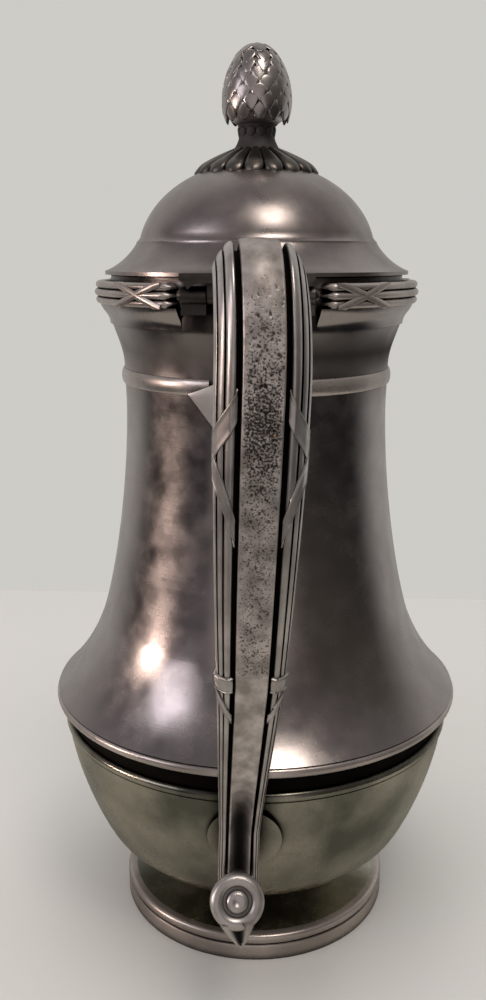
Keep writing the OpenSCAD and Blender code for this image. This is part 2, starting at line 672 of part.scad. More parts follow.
// ---- hinge -----------------------------------------------------------------
knuckle_len = (barrel_len - 4 * knuckle_gap) / 5;
knuckle_step = knuckle_len + knuckle_gap;
seat_t = 1.2;
module barrel_piece(k) {
    translate([k * knuckle_step - knuckle_len / 2, hinge_y, hinge_z]) rotate([0, 90, 0])
        cylinder(r = barrel_r, h = knuckle_len, $fn = 48);
}
module barrel_bore(r) {
    translate([-barrel_len, hinge_y, hinge_z]) rotate([0, 90, 0])
        cylinder(r = r, h = 2 * barrel_len, $fn = 48);
}
module hinge_seat() {
    color(grey_silver) difference() {
        union() {
            intersection() {
                turned([[mouth_r, cove_low], [mouth_r + seat_t, cove_low],
                        [mouth_r + seat_t, hinge_z - barrel_r - 0.6], [mouth_r, hinge_z - barrel_r - 0.6]]);
                hinge_gap(gap_angle - 2.6);
            }
            for (k = [-2, 0, 2]) {
                barrel_piece(k);
                translate([k * knuckle_step - knuckle_len / 2, hinge_y - 0.6, hinge_z - barrel_r - 2.4])
                    cube([knuckle_len, 4.2, barrel_r + 2.4]);
            }
        }
        barrel_bore(pin_r);
        turned([[0, cove_low - 5], [mouth_r, cove_low - 5], [mouth_r, mouth_h + 5], [0, mouth_h + 5]]);
    }
}
pin_head_h = 0.9;
pin_len = barrel_len + pin_head_h;
module hinge_pin() {
    color(silver) {
        translate([-pin_len / 2, hinge_y, hinge_z]) rotate([0, 90, 0])
            cylinder(r = pin_r, h = pin_len, $fn = 48);
        for (side = [-1, 1]) translate([side * barrel_len / 2, hinge_y, hinge_z])
            rotate([0, side * 90, 0]) cylinder(r1 = 1.5, r2 = 0.9, h = pin_head_h, $fn = 32);
    }
}
apron_y = hinge_y - barrel_r - 0.5;
apron_t = 0.9;
lobe_x = 13.6;
apron_drop = 2.2;
lobe_drop = 3.6;
module hinge_leaf() {
    half = barrel_len / 2;
    color(silver) difference() {
        union() {
            translate([-half, apron_y - apron_t, lid_low])
                cube([barrel_len, -36 - apron_y + apron_t, 0.9]);
            translate([0, apron_y, lid_low + 0.9]) rotate([90, 0, 0]) linear_extrude(apron_t)
                polygon([[-half, 0], [-half, -1.4], [-lobe_x - 1, -1.9], [-lobe_x, -lobe_drop],
                         [-lobe_x + 1.4, -apron_drop - 0.3], [-lobe_x + 4, -apron_drop],
                         [lobe_x - 4, -apron_drop], [lobe_x - 1.4, -apron_drop - 0.3],
                         [lobe_x, -lobe_drop], [lobe_x + 1, -1.9], [half, -1.4], [half, 0]]);
            for (k = [-1, 1]) {
                barrel_piece(k);
                translate([k * knuckle_step - knuckle_len / 2, hinge_y - barrel_r, hinge_z])
                    cube([knuckle_len, 2 * barrel_r, lid_low - hinge_z + 0.4]);
            }
        }
        barrel_bore(pin_r + pin_fit);
        turned([[0, lid_low - 8], [lid_r, lid_low - 8], [lid_r, lid_low], [lid_r, lid_low + 3], [0, lid_low + 3]]);
    }
}

body();
bowl();
shoulder_bead();
bowl_bead();
neck_ring();
rim_band();
rim_cove();
foot();
foot_edge();
handle();
handle_strap();
upper_plate();
lower_plate();
scroll_end();
scroll_boss();
spout_socket();
spout();
spout_lip();
hinge_seat();
hinge_pin();
lid_cover();
lid_bezel();
hinge_leaf();
petal_collar();
finial();
finial_stud();
finial_washer();
finial_nut();
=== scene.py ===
# %% [markdown]
# # A silver coffee pot, seen from behind its handle
# The solids come packed from the CAD model. This file gives them their looks: smooth turned
# walls in place of the solids' facets, the pine cone's scales, the handle's ribbons and pits,
# and the tarnish of old silver plate. Lengths in outlines are in millimetres, and MM turns them
# into metres when a mesh is made.

# %% Load the frame
import json
import math
import random

import bpy
from mathutils import Matrix, Vector

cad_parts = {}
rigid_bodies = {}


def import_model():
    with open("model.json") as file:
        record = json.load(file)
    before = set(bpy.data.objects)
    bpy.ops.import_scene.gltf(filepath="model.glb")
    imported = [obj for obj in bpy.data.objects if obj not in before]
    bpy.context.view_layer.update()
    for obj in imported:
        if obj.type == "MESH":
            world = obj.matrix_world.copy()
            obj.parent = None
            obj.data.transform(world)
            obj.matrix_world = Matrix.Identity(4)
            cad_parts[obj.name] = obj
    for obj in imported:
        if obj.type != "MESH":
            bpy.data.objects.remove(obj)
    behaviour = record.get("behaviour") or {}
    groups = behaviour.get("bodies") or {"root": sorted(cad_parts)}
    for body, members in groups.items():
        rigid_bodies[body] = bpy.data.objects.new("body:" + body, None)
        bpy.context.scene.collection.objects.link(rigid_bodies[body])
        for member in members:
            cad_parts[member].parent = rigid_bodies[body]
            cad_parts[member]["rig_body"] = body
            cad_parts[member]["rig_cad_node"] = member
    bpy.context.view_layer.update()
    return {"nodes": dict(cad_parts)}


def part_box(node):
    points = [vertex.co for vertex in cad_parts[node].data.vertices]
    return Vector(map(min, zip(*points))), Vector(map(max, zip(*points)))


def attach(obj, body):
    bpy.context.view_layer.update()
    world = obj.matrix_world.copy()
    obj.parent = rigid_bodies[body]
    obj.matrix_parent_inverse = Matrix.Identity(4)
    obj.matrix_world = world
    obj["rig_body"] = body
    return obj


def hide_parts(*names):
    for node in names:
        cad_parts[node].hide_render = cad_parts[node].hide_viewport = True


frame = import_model()
MM = 0.001
TAU = 2 * math.pi

# %% [markdown]
# ## The camera
# A close portrait view from a little above the pot's mouth, looking down. Being close makes the
# near handle look large, so the distance matters as much as the angle.

# %% Place the camera
pot_view_distance = 0.270
pot_view_height = 0.1894
pot_view_turn = math.radians(2.7)
camera_tilt = math.radians(14.1)
camera_swing = math.radians(0.766)
bpy.ops.object.camera_add(
    location=(pot_view_distance * math.sin(pot_view_turn),
              -pot_view_distance * math.cos(pot_view_turn), pot_view_height),
    rotation=(math.pi / 2 - camera_tilt, 0, pot_view_turn + camera_swing))
camera = bpy.context.object
camera.name = "camera"
camera.data.sensor_fit = "VERTICAL"
camera.data.sensor_height = 36
camera.data.lens = 35.1
camera.data.clip_start = 0.01
bpy.context.scene.camera = camera
print("camera at", [round(v, 3) for v in camera.location])

# %% [markdown]
# ## The table
# Polished metal shows its surroundings, so they matter as much as the metal. The camera sees a
# wide pale table. The metal sees only a small, dimmer piece of it, because a whole pale table
# would wash out the bowl's deep tones. So there are two planes, each hidden from one kind of
# ray, and the colour is chosen by the kind of ray too.

# %% Build the table
def new_material(name):
    material = bpy.data.materials.new(name)
    material.use_nodes = True
    nodes = material.node_tree.nodes
    nodes.clear()
    shader = nodes.new("ShaderNodeBsdfPrincipled")
    output = nodes.new("ShaderNodeOutputMaterial")
    material.node_tree.links.new(shader.outputs[0], output.inputs[0])
    return material, nodes, material.node_tree.links, shader


def nothing_selected():
    if bpy.context.object and bpy.context.object.mode != "OBJECT":
        bpy.ops.object.mode_set(mode="OBJECT")
    bpy.ops.object.select_all(action="DESELECT")


def flat_top(name, near, far, width, height, material):
    nothing_selected()
    bpy.ops.mesh.primitive_plane_add(size=1, location=(0, (near + far) / 2, height))
    top = bpy.context.object
    top.name = name
    top.scale = (width, far - near, 1)
    bpy.ops.object.transform_apply(location=True, scale=True)
    top.data.materials.append(material)
    return top


table_far = 0.26
table_seen = (0.66, 0.65, 0.635, 1)
table_reflected = (0.29, 0.28, 0.245, 1)
paint, nodes, links, shader = new_material("pale_table")
shader.inputs["Roughness"].default_value = 0.7
table_ray = nodes.new("ShaderNodeLightPath")
table_tone = nodes.new("ShaderNodeMix")
table_tone.data_type = "RGBA"
table_tone.inputs[6].default_value = table_seen
table_tone.inputs[7].default_value = table_reflected
links.new(table_ray.outputs["Is Glossy Ray"], table_tone.inputs[0])
links.new(table_tone.outputs[2], shader.inputs["Base Color"])
table = flat_top("table", -1.6, table_far, 3.2, 0, paint)
table.visible_glossy = False
just_above = 0.0003
mirrored = flat_top("mirrored_table", -0.20, table_far, 0.46, just_above, paint)
mirrored.visible_camera = False
mirrored.visible_diffuse = False
mirrored.visible_shadow = False
print("table", [round(v, 2) for v in table.dimensions])
print("mirrored table", [round(v, 2) for v in mirrored.dimensions])

# %% [markdown]
# ## The lights
# A lamp high behind the camera puts the small bright spots on the lid, the handle's crest and
# the shoulder. Two soft panels on the left draw the long warm and cool streaks down the neck.
# One large panel overhead lights the table alone, so the metal is told not to reflect it.


# %% Hang the lights
def lamp(name, azimuth, elevation, distance, width, height, power, colour):
    aim = Vector((0, 0, 0.12))
    a = math.radians(azimuth)
    e = math.radians(elevation)
    way = Vector((math.sin(a) * math.cos(e), math.cos(a) * math.cos(e), math.sin(e)))
    light = bpy.data.lights.new(name, "AREA")
    light.shape = "RECTANGLE"
    light.size = width
    light.size_y = height
    light.energy = power
    light.color = colour
    holder = bpy.data.objects.new(name, light)
    bpy.context.scene.collection.objects.link(holder)
    holder.location = aim + distance * way
    holder.rotation_euler = (-way).to_track_quat("-Z", "Y").to_euler()
    return holder


lamp("high_lamp", 154, 60, 1.2, 0.34, 0.38, 2.5, (1.0, 0.90, 0.80))
lamp("left_lamp", -107, 6, 1.1, 0.24, 0.10, 1.9, (1.0, 0.78, 0.66))
lamp("left_window", -126, 24, 1.4, 0.55, 0.55, 1.9, (0.93, 0.88, 0.95))
overhead = lamp("overhead", 175, 84, 1.6, 2.2, 2.2, 30.5, (1.0, 0.99, 0.975))
overhead.visible_glossy = False
bpy.context.scene.view_settings.view_transform = "Standard"

# %% [markdown]
# ## The room
# The world is a dim brown room with a pale far side, a dark floor, and a soft glow where the
# maker stands behind the camera, which lifts the front of the handle. What the camera sees
# straight on is a plain pale colour, and what the metal reflects is the room. The two are told
# apart by the kind of ray, so the metal gets its contrast and the background stays plain.

# %% Paint the world
world = bpy.data.worlds.new("room")
bpy.context.scene.world = world
world.use_nodes = True
wn = world.node_tree.nodes
wl = world.node_tree.links
wn.clear()


def room_band(socket, low, high):
    step = wn.new("ShaderNodeMapRange")
    step.interpolation_type = "SMOOTHSTEP"
    step.inputs["From Min"].default_value = low
    step.inputs["From Max"].default_value = high
    wl.new(socket, step.inputs["Value"])
    return step.outputs["Result"]


def room_mix(factor, one, other):
    mix = wn.new("ShaderNodeMix")
    mix.data_type = "RGBA"
    wl.new(factor, mix.inputs[0])
    for socket, colour in ((mix.inputs[6], one), (mix.inputs[7], other)):
        if isinstance(colour, tuple):
            socket.default_value = colour
        else:
            wl.new(colour, socket)
    return mix.outputs[2]


direction = wn.new("ShaderNodeTexCoord")
axes = wn.new("ShaderNodeSeparateXYZ")
wl.new(direction.outputs["Generated"], axes.inputs[0])
left_wall = (0.12, 0.11, 0.115, 1)
right_wall = (0.075, 0.066, 0.056, 1)
ceiling = (0.16, 0.15, 0.15, 1)
dark_floor = (0.012, 0.012, 0.013, 1)
maker_glow = (0.36, 0.325, 0.31, 1)
far_wall = (0.40, 0.39, 0.37, 1)
backdrop = (0.61, 0.60, 0.57, 1)
side_room = room_mix(room_band(axes.outputs["X"], -0.9, 0.9), left_wall, right_wall)
with_ceiling = room_mix(room_band(axes.outputs["Z"], 0.15, 0.9), side_room, ceiling)
with_floor = room_mix(room_band(axes.outputs["Z"], -0.12, 0.03), dark_floor, with_ceiling)
with_maker = room_mix(room_band(axes.outputs["Y"], -0.80, -0.95), with_floor, maker_glow)
whole_room = room_mix(room_band(axes.outputs["Y"], 0.05, 0.65), with_maker, far_wall)
ray = wn.new("ShaderNodeLightPath")
seen = room_mix(ray.outputs["Is Camera Ray"], whole_room, backdrop)
background = wn.new("ShaderNodeBackground")
wl.new(seen, background.inputs["Color"])
world_out = wn.new("ShaderNodeOutputWorld")
wl.new(background.outputs[0], world_out.inputs[0])
print("room nodes:", len(wn))

# %% [markdown]
# ## Old silver plate
# Worn silver plate is bright on its edges, cloudy where it is handled, and black in its
# recesses, where tarnish gathers and shade falls. One builder makes every tone of it: a large
# noise clouds the colour, a fine one speckles it, ambient occlusion darkens the recesses as
# tarnish and painted shade in one, and faint lines left by polishing and small dents break up
# the reflections. Two attributes painted on a mesh's points steer it further: one lays tarnish
# and painted shade, and the other, `pitted`, says how thickly the casting is pocked.

# %% Helpers for wiring a material
def noise(nodes, links, source, scale, detail, stretch=None):
    texture = nodes.new("ShaderNodeTexNoise")
    texture.inputs["Scale"].default_value = scale
    texture.inputs["Detail"].default_value = detail
    if stretch:
        mapping = nodes.new("ShaderNodeMapping")
        mapping.inputs["Scale"].default_value = stretch
        links.new(source, mapping.inputs["Vector"])
        source = mapping.outputs[0]
    links.new(source, texture.inputs["Vector"])
    return texture.outputs["Fac"]


def ranged(nodes, links, socket, from_low, from_high, to_low, to_high):
    step = nodes.new("ShaderNodeMapRange")
    step.inputs["From Min"].default_value = from_low
    step.inputs["From Max"].default_value = from_high
    step.inputs["To Min"].default_value = to_low
    step.inputs["To Max"].default_value = to_high
    links.new(socket, step.inputs["Value"])
    return step.outputs["Result"]


def blended(nodes, links, factor, one, other):
    blend = nodes.new("ShaderNodeMix")
    blend.data_type = "RGBA"
    links.new(factor, blend.inputs[0])
    for socket, colour in ((blend.inputs[6], one), (blend.inputs[7], other)):
        if isinstance(colour, tuple):
            socket.default_value = colour + (1,)
        else:
            links.new(colour, socket)
    return blend.outputs[2]


def reckoned(nodes, links, operation, *values):
    sum_of = nodes.new("ShaderNodeMath")
    sum_of.operation = operation
    for socket, value in zip(sum_of.inputs, values):
        if isinstance(value, float):
            socket.default_value = value
        else:
            links.new(value, socket)
    return sum_of.outputs[0]


def painted(nodes, name):
    attribute = nodes.new("ShaderNodeAttribute")
    attribute.attribute_name = name
    return attribute.outputs["Fac"]


def bumped(nodes, links, height, strength, distance, under=None):
    bump = nodes.new("ShaderNodeBump")
    bump.inputs["Strength"].default_value = strength
    bump.inputs["Distance"].default_value = distance
    links.new(height, bump.inputs["Height"])
    if under:
        links.new(under.outputs[0], bump.inputs["Normal"])
    return bump


print("noise() to bumped(): six short ways to add a node and wire it")

# %% [markdown]
# The pits are drawn where the paint says so: the paint is added to a fine noise, and only what
# then rises over a limit becomes a hole, so more paint gives more and larger holes. The holes are
# painted dark, as soot with painted shade. A few spots among the thickest pits show the gilt
# colour of worn plate. Where the tarnish and painted shade lie, the surface is rougher, as soot
# is matt.

# %% Mix the silver
def old_silver(name, bright, dull, rough=0.2, cloud=45.0, recess=0.003, soot_and_shade=(0.012, 0.010, 0.009),
               spun=True, dent=0.25, pits=False, tarnish_shade_range=(0.35, 0.88), frost=0.0):
    material, nodes, links, shader = new_material(name)
    shader.inputs["Metallic"].default_value = 1 - frost
    where = nodes.new("ShaderNodeTexCoord").outputs["Object"]
    clouds = ranged(nodes, links, noise(nodes, links, where, cloud, 6), 0.36, 0.64, 0, 1)
    tone = blended(nodes, links, clouds, dull, bright)
    speckle = ranged(nodes, links, noise(nodes, links, where, 1400, 3), 0.60, 0.74, 0, 0.45)
    tone = blended(nodes, links, speckle, tone, dull)
    # Tarnish and painted shade: ambient occlusion blends the recesses toward the dark colour.
    shade = nodes.new("ShaderNodeAmbientOcclusion")
    shade.samples = 8
    shade.inputs["Distance"].default_value = recess
    clean_and_unshaded = ranged(nodes, links, shade.outputs["AO"], tarnish_shade_range[0], tarnish_shade_range[1], 0, 1)
    tone = blended(nodes, links, clean_and_unshaded, soot_and_shade, tone)
    gloss = ranged(nodes, links, noise(nodes, links, where, 160, 4), 0.3, 0.7, rough - 0.04, rough + 0.10)
    fine = noise(nodes, links, where, 1.0, 2, (45, 45, 3200) if spun else (2600, 2600, 400))
    relief = bumped(nodes, links, fine, 0.10, 0.00006)
    relief = bumped(nodes, links, noise(nodes, links, where, 70, 3), dent, 0.0006, relief)
    if pits:
        paint = painted(nodes, "pitted")
        thick = reckoned(nodes, links, "MULTIPLY_ADD", paint, 0.24, noise(nodes, links, where, 2300, 6))
        holes = ranged(nodes, links, thick, 0.62, 0.76, 0, 1)
        holes = reckoned(nodes, links, "MULTIPLY", holes, ranged(nodes, links, paint, 0, 0.1, 0, 1))
        relief = bumped(nodes, links, holes, 0.3, 0.00015, relief)
        relief.invert = True
        spots = ranged(nodes, links, noise(nodes, links, where, 420, 2), 0.60, 0.68, 0, 0.8)
        spots = reckoned(nodes, links, "MULTIPLY", spots, ranged(nodes, links, paint, 0.75, 0.95, 0, 1))
        tone = blended(nodes, links, spots, tone, (0.60, 0.40, 0.18))
        # Painted shade and soot: the pits are painted dark inside.
        tone = blended(nodes, links, ranged(nodes, links, holes, 0, 1, 0, 0.9), tone, soot_and_shade)
    # The mesh's painted attribute lays tarnish and painted shade in the same dark colour.
    tarnish_and_shade = painted(nodes, "tarnish_and_shade")
    tone = blended(nodes, links, tarnish_and_shade, tone, soot_and_shade)
    gloss = reckoned(nodes, links, "MULTIPLY_ADD", tarnish_and_shade, 0.6, gloss)
    links.new(tone, shader.inputs["Base Color"])
    links.new(gloss, shader.inputs["Roughness"])
    links.new(relief.outputs[0], shader.inputs["Normal"])
    return material


# %% [markdown]
# Each kind of piece has its own finish. The first colour is the clean metal and the second its
# tarnish. The bowl has gone greenish, the petals are nearly black, and the hinge is painted
# nearly black as the shade it sits in. The handle and strap are frosted from wear, so they aren't
# wholly metallic. Two finishes share a slot with a brighter or darker neighbour: the petals with
# the pine cone, and the leaf plate with the handle, where its much brighter finish is a painted
# reflection.

# %% Mix a finish for each kind of piece
neck_silver = old_silver("neck_silver", (0.58, 0.53, 0.52), (0.45, 0.405, 0.40), rough=0.22, dent=0.04)
bowl_silver = old_silver("bowl_silver", (0.62, 0.59, 0.50), (0.18, 0.18, 0.15), rough=0.22, cloud=38.0,
                         recess=0.007, tarnish_shade_range=(0.60, 0.97))
moulding_silver = old_silver("moulding_silver", (0.74, 0.665, 0.635), (0.46, 0.41, 0.385), rough=0.27,
                             frost=0.16)
lid_silver = old_silver("lid_silver", (0.62, 0.56, 0.55), (0.42, 0.375, 0.365), rough=0.27, dent=0.12)
petal_silver = old_silver("petal_silver", (0.36, 0.33, 0.31), (0.17, 0.155, 0.145), rough=0.32,
                          recess=0.004, spun=False, tarnish_shade_range=(0.55, 1.0))
# Painted reflection: the leaf plate gets a near-white, rougher silver that stands in for a window's
# reflection on it.
plate_reflection_silver = old_silver("plate_reflection_silver", (1.0, 0.99, 0.97), (0.80, 0.78, 0.76), rough=0.45, spun=False)
finial_silver = old_silver("finial_silver", (0.78, 0.73, 0.72), (0.46, 0.43, 0.42), rough=0.27,
                           recess=0.002, spun=False, tarnish_shade_range=(0.25, 0.90))
handle_silver = old_silver("handle_silver", (0.80, 0.765, 0.75), (0.54, 0.50, 0.485), rough=0.33,
                           cloud=120.0, recess=0.0022, spun=False, dent=0.5, frost=0.08)
strap_silver = old_silver("strap_silver", (0.84, 0.77, 0.74), (0.44, 0.395, 0.37), rough=0.35,
                          cloud=260.0, recess=0.0014, spun=False, dent=0.4, pits=True, frost=0.20)
# Painted shade: the hinge pieces are near black for the shade they sit in, in the band's gap.
hinge_silver = old_silver("hinge_silver", (0.20, 0.18, 0.17), (0.07, 0.065, 0.06), rough=0.36,
                          recess=0.005, spun=False, tarnish_shade_range=(0.45, 1.0))
fixing_brass = old_silver("fixing_brass", (0.62, 0.45, 0.20), (0.38, 0.27, 0.12), rough=0.35, spun=False)
looks = {"neck_silver": neck_silver, "bowl_silver": bowl_silver, "moulding_silver": moulding_silver,
         "lid_silver": lid_silver, "finial_silver": finial_silver, "handle_silver": handle_silver,
         "strap_silver": strap_silver, "hinge_silver": hinge_silver, "fixing_brass": fixing_brass}
print("finishes:", len(looks))

# %% [markdown]
# ## Turning on a lathe
# A spinner presses sheet over a turning block, so the neck, bowl, foot and lid are all one
# outline carried round the axis. The helper does what a person does in edit mode: one point is
# moved to the outline's start, extruded from point to point, and spun. Merging doubles closes
# the seam and the poles. A gap in the turn leaves room for the hinge.

# %% Draw outlines
def bez(a, b, c, d, t):
    a, b, c, d = Vector(a), Vector(b), Vector(c), Vector(d)
    return (1 - t) ** 3 * a + 3 * t * (1 - t) ** 2 * b + 3 * t * t * (1 - t) * c + t ** 3 * d


def slope(a, b, c, d, t):
    a, b, c, d = Vector(a), Vector(b), Vector(c), Vector(d)
    return (3 * ((1 - t) ** 2 * (b - a) + 2 * t * (1 - t) * (c - b) + t * t * (d - c))).normalized()


def curve(a, b, c, d, n):
    return [bez(a, b, c, d, i / n) for i in range(n + 1)]


def bulge(r, low, high, out, n=10):
    middle = (low + high) / 2
    half = (high - low) / 2
    return [Vector((r + out * math.sin(math.pi * i / n), middle - half * math.cos(math.pi * i / n)))
            for i in range(n + 1)]


def beside(points, distance):
    moved = []
    for i, point in enumerate(points):
        way = (points[min(i + 1, len(points) - 1)] - points[max(i - 1, 0)]).normalized()
        moved.append(point + distance * Vector((-way[1], way[0])))
    return moved


def mix(a, b, t):
    return a + (b - a) * t


print("an outline is a list of points, as", bulge(5, 0, 2, 1, 2))

# %% Finish a mesh and spin an outline
def edit_all_of(piece):
    nothing_selected()
    bpy.context.view_layer.objects.active = piece
    piece.select_set(True)
    bpy.ops.object.mode_set(mode="EDIT")
    bpy.ops.mesh.select_all(action="SELECT")


def tidy_mesh(piece, crease=38):
    edit_all_of(piece)
    bpy.ops.mesh.remove_doubles(threshold=0.000002)
    bpy.ops.mesh.normals_make_consistent(inside=False)
    bpy.ops.object.mode_set(mode="OBJECT")
    bpy.ops.object.shade_smooth_by_angle(angle=math.radians(crease))


def blacken(piece, how_black):
    layer = piece.data.attributes.new("tarnish_and_shade", "FLOAT", "POINT")
    values = [how_black(vertex.co / MM) for vertex in piece.data.vertices]
    layer.data.foreach_set("value", values)


def lathe(name, outline, gap=0.0, closed=True, steps=144):
    start = math.radians(gap - 90)
    way = Vector((math.cos(start), math.sin(start), 0))
    line = [MM * (p[0] * way + Vector((0, 0, p[1]))) for p in outline]
    if closed:
        line.append(line[0])
    nothing_selected()
    bpy.ops.mesh.primitive_plane_add(size=MM, location=(0, 0, 0))
    piece = bpy.context.object
    piece.name = name
    bpy.ops.object.mode_set(mode="EDIT")
    bpy.ops.mesh.select_all(action="SELECT")
    bpy.ops.mesh.merge(type="CENTER")
    bpy.ops.transform.translate(value=line[0])
    for before, after in zip(line, line[1:]):
        bpy.ops.mesh.extrude_region_move(TRANSFORM_OT_translate={"value": after - before})
    bpy.ops.mesh.select_all(action="SELECT")
    bpy.ops.mesh.remove_doubles(threshold=0.000002)
    bpy.ops.mesh.spin(steps=steps, angle=TAU - 2 * math.radians(gap), center=(0, 0, 0), axis=(0, 0, -1))
    bpy.ops.mesh.select_all(action="SELECT")
    bpy.ops.mesh.remove_doubles(threshold=0.000002)
    if gap:
        bpy.ops.mesh.fill_holes(sides=0)
    bpy.ops.object.mode_set(mode="OBJECT")
    tidy_mesh(piece)
    return piece


def settle(piece, body, slot, *nodes):
    piece.data.materials.clear()
    piece.data.materials.append(looks[slot])
    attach(piece, body)
    if nodes:
        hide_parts(*nodes)
    print(piece.name, "faces", len(piece.data.polygons))


print("lathe() turns an outline, settle() gives the piece its finish, body and CAD nodes")

# %% Read a solid's size
def size_of(node):
    low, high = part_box(node)
    return low / MM, high / MM


# %% [markdown]
# ## The spun neck, bowl and foot
# Each wall is drawn as its outer line and the same line moved in by the sheet's thickness. The
# beads that cover the seams are half rounds. The sizes are read from the imported solids, so the
# smooth shells lie where the faceted ones did. Painted shade rings the neck by its bead, stronger
# on the right, the shaded side, and the groove under the shoulder is painted black as shade.

# %% Spin the neck
wall = 1.1
mouth_h = size_of("body")[1].z
shoulder_h = size_of("body")[0].z
shoulder_r = size_of("body")[1].x
band_r = size_of("rim_band")[1].x
mouth_r = band_r - 4.4
waist_r = size_of("neck_ring")[1].x - 1.05
cove_low = size_of("rim_cove")[0].z
reeds_low = size_of("rim_cove")[1].z
reeds_high = size_of("rim_band")[1].z
ring_low, ring_high = (corner.z for corner in size_of("neck_ring"))
ring_seat_r = waist_r + 0.25
waist_h = mouth_h - 33.2
knee_r = mix(waist_r, shoulder_r, 0.38)
knee_h = shoulder_h + 0.254 * (waist_h - shoulder_h)
neck_top = curve((mouth_r, cove_low), (mouth_r - 1.5, cove_low - 4.5), (ring_seat_r, ring_high + 4.5),
                 (ring_seat_r, ring_high), 14)
neck_low = curve((waist_r, waist_h), (waist_r, mix(waist_h, knee_h, 0.34)),
                 (mix(waist_r, knee_r, 0.46), mix(waist_h, knee_h, 0.77)), (knee_r, knee_h), 26)
flare_out = 0.18 * 0.125 * (waist_h - shoulder_h) + 0.6
flare_down = 0.53 * 0.125 * (waist_h - shoulder_h) + 1.2
flare = curve((knee_r, knee_h), (knee_r + flare_out, knee_h - flare_down),
              (mix(knee_r, shoulder_r, 0.49), mix(knee_h, shoulder_h, 0.69)), (shoulder_r, shoulder_h), 22)
neck_outer = [Vector((mouth_r, mouth_h))] + neck_top + neck_low + flare[1:]
neck_inner = beside(neck_outer, -wall)
neck_inner[0] = Vector((mouth_r - wall, mouth_h))
neck_inner[-1] = Vector((shoulder_r - 1.6 * wall, shoulder_h))
neck = lathe("spun_neck", neck_outer + neck_inner[::-1])
# Painted shade: a dark band round the neck by its bead, stronger on the right, the shaded side.
neck_shade_h = 165.5
neck_shade_reach = 8
blacken(neck, lambda place: (max(0.0, 1 - abs(place.z - neck_shade_h) / neck_shade_reach)
                             * (0.75 if place.x > 0 else 0.3)))
settle(neck, "pot", "neck_silver", "body")

# %% Spin the bowl
seam_h = size_of("bowl")[1].z
groove_r = size_of("bowl")[1].x - 0.7
bead_low, bead_high = (corner.z for corner in size_of("bowl_bead"))
bowl_h = size_of("bowl")[0].z
foot_neck_r = 23.2
bowl_turn = (groove_r - 8.9, mix(bead_low, bowl_h, 0.7))
bowl_outer = [Vector((groove_r, seam_h)), Vector((groove_r, bead_high - 0.3)), Vector((groove_r, bead_low))]
bowl_outer += curve((groove_r + 0.7, bead_low), (groove_r - 0.5, mix(bead_low, bowl_h, 0.22)),
                    (groove_r - 4.4, mix(bead_low, bowl_h, 0.5)), bowl_turn, 16)
bowl_outer += curve(bowl_turn, (groove_r - 11.5, mix(bead_low, bowl_h, 0.815)),
                    (foot_neck_r + 12.8, bowl_h + 1.2), (foot_neck_r + 0.3, bowl_h), 16)[1:]
bowl_inner = [Vector((groove_r - wall, seam_h)), Vector((groove_r - wall, bead_low))]
bowl_inner += beside(bowl_outer, -wall)[4:-1] + [Vector((foot_neck_r, bowl_h + wall))]
bowl_floor = [Vector((0, bowl_h)), Vector((0, bowl_h + wall))]
bowl = lathe("spun_bowl", bowl_outer + bowl_floor + bowl_inner[::-1])
# Painted shade: the groove under the shoulder, down to the lower bead, is painted near black.
blacken(bowl, lambda place: 0.97 if place.z > bead_high - 0.5 else 0)
settle(bowl, "pot", "bowl_silver", "bowl")

# %% Add the beads at the seams
bead_nose = bulge(shoulder_r - 0.6, seam_h, shoulder_h - 0.25, 1.1, 14)
seam_bead = lathe("seam_bead", [Vector((groove_r - wall, seam_h))] + bead_nose
                  + [Vector((shoulder_r, shoulder_h)), Vector((shoulder_r - 1.6 * wall, shoulder_h))])
settle(seam_bead, "pot", "moulding_silver", "shoulder_bead")
lower_bead = lathe("lower_bead", bulge(groove_r, bead_low, bead_high, 1.35, 14))
settle(lower_bead, "pot", "bowl_silver", "bowl_bead")
leaf_gap = 15.5
ring = lathe("neck_bead", bulge(ring_seat_r, ring_low, ring_high, 0.8, 14), gap=leaf_gap)
settle(ring, "pot", "moulding_silver", "neck_ring")

# %% Spin the foot
foot_r = size_of("foot_edge")[1].x
foot_top = size_of("foot_edge")[1].z
edge_h = foot_top - 2.8
skirt_r = foot_r - 2.6
skirt = curve((skirt_r, foot_top), (mix(skirt_r, foot_neck_r, 0.5), foot_top + 0.5),
              (foot_neck_r + 1, foot_top + 1.8), (foot_neck_r, bowl_h), 16)
skirt_inside = beside(skirt, wall)
foot = lathe("spun_foot", [Vector((skirt_r, 0.5))] + skirt
             + [Vector((foot_neck_r - 7, bowl_h)), Vector((foot_neck_r - 7, bowl_h - wall))]
             + skirt_inside[-2:0:-1]
             + [Vector((skirt_r - wall, foot_top - wall)), Vector((skirt_r - wall, 0.5))])
settle(foot, "pot", "bowl_silver", "foot")
foot_band = lathe("foot_band", [Vector((skirt_r, 0)), Vector((foot_r - 0.4, 0)), Vector((foot_r - 0.1, 0.12)),
                                Vector((foot_r, 0.4)), Vector((foot_r, edge_h - 0.5)),
                                Vector((foot_r - 0.15, edge_h - 0.2)), Vector((foot_r - 0.6, edge_h))]
                  + bulge(foot_r - 1.0, edge_h, foot_top, 1.0, 14)[1:] + [Vector((skirt_r, foot_top))])
settle(foot_band, "pot", "moulding_silver", "foot_edge")

# %% [markdown]
# ## Skinning and joining
# Some shapes can't be turned. They are a row of rings, each with the same number of points, and
# the faces between one ring and the next make the skin. The edit-mode tool for this, bridge,
# picks its own pairing of points, so the faces are listed here instead. Parts that are one
# casting on the real pot are joined into one piece, often after a small part is repeated.

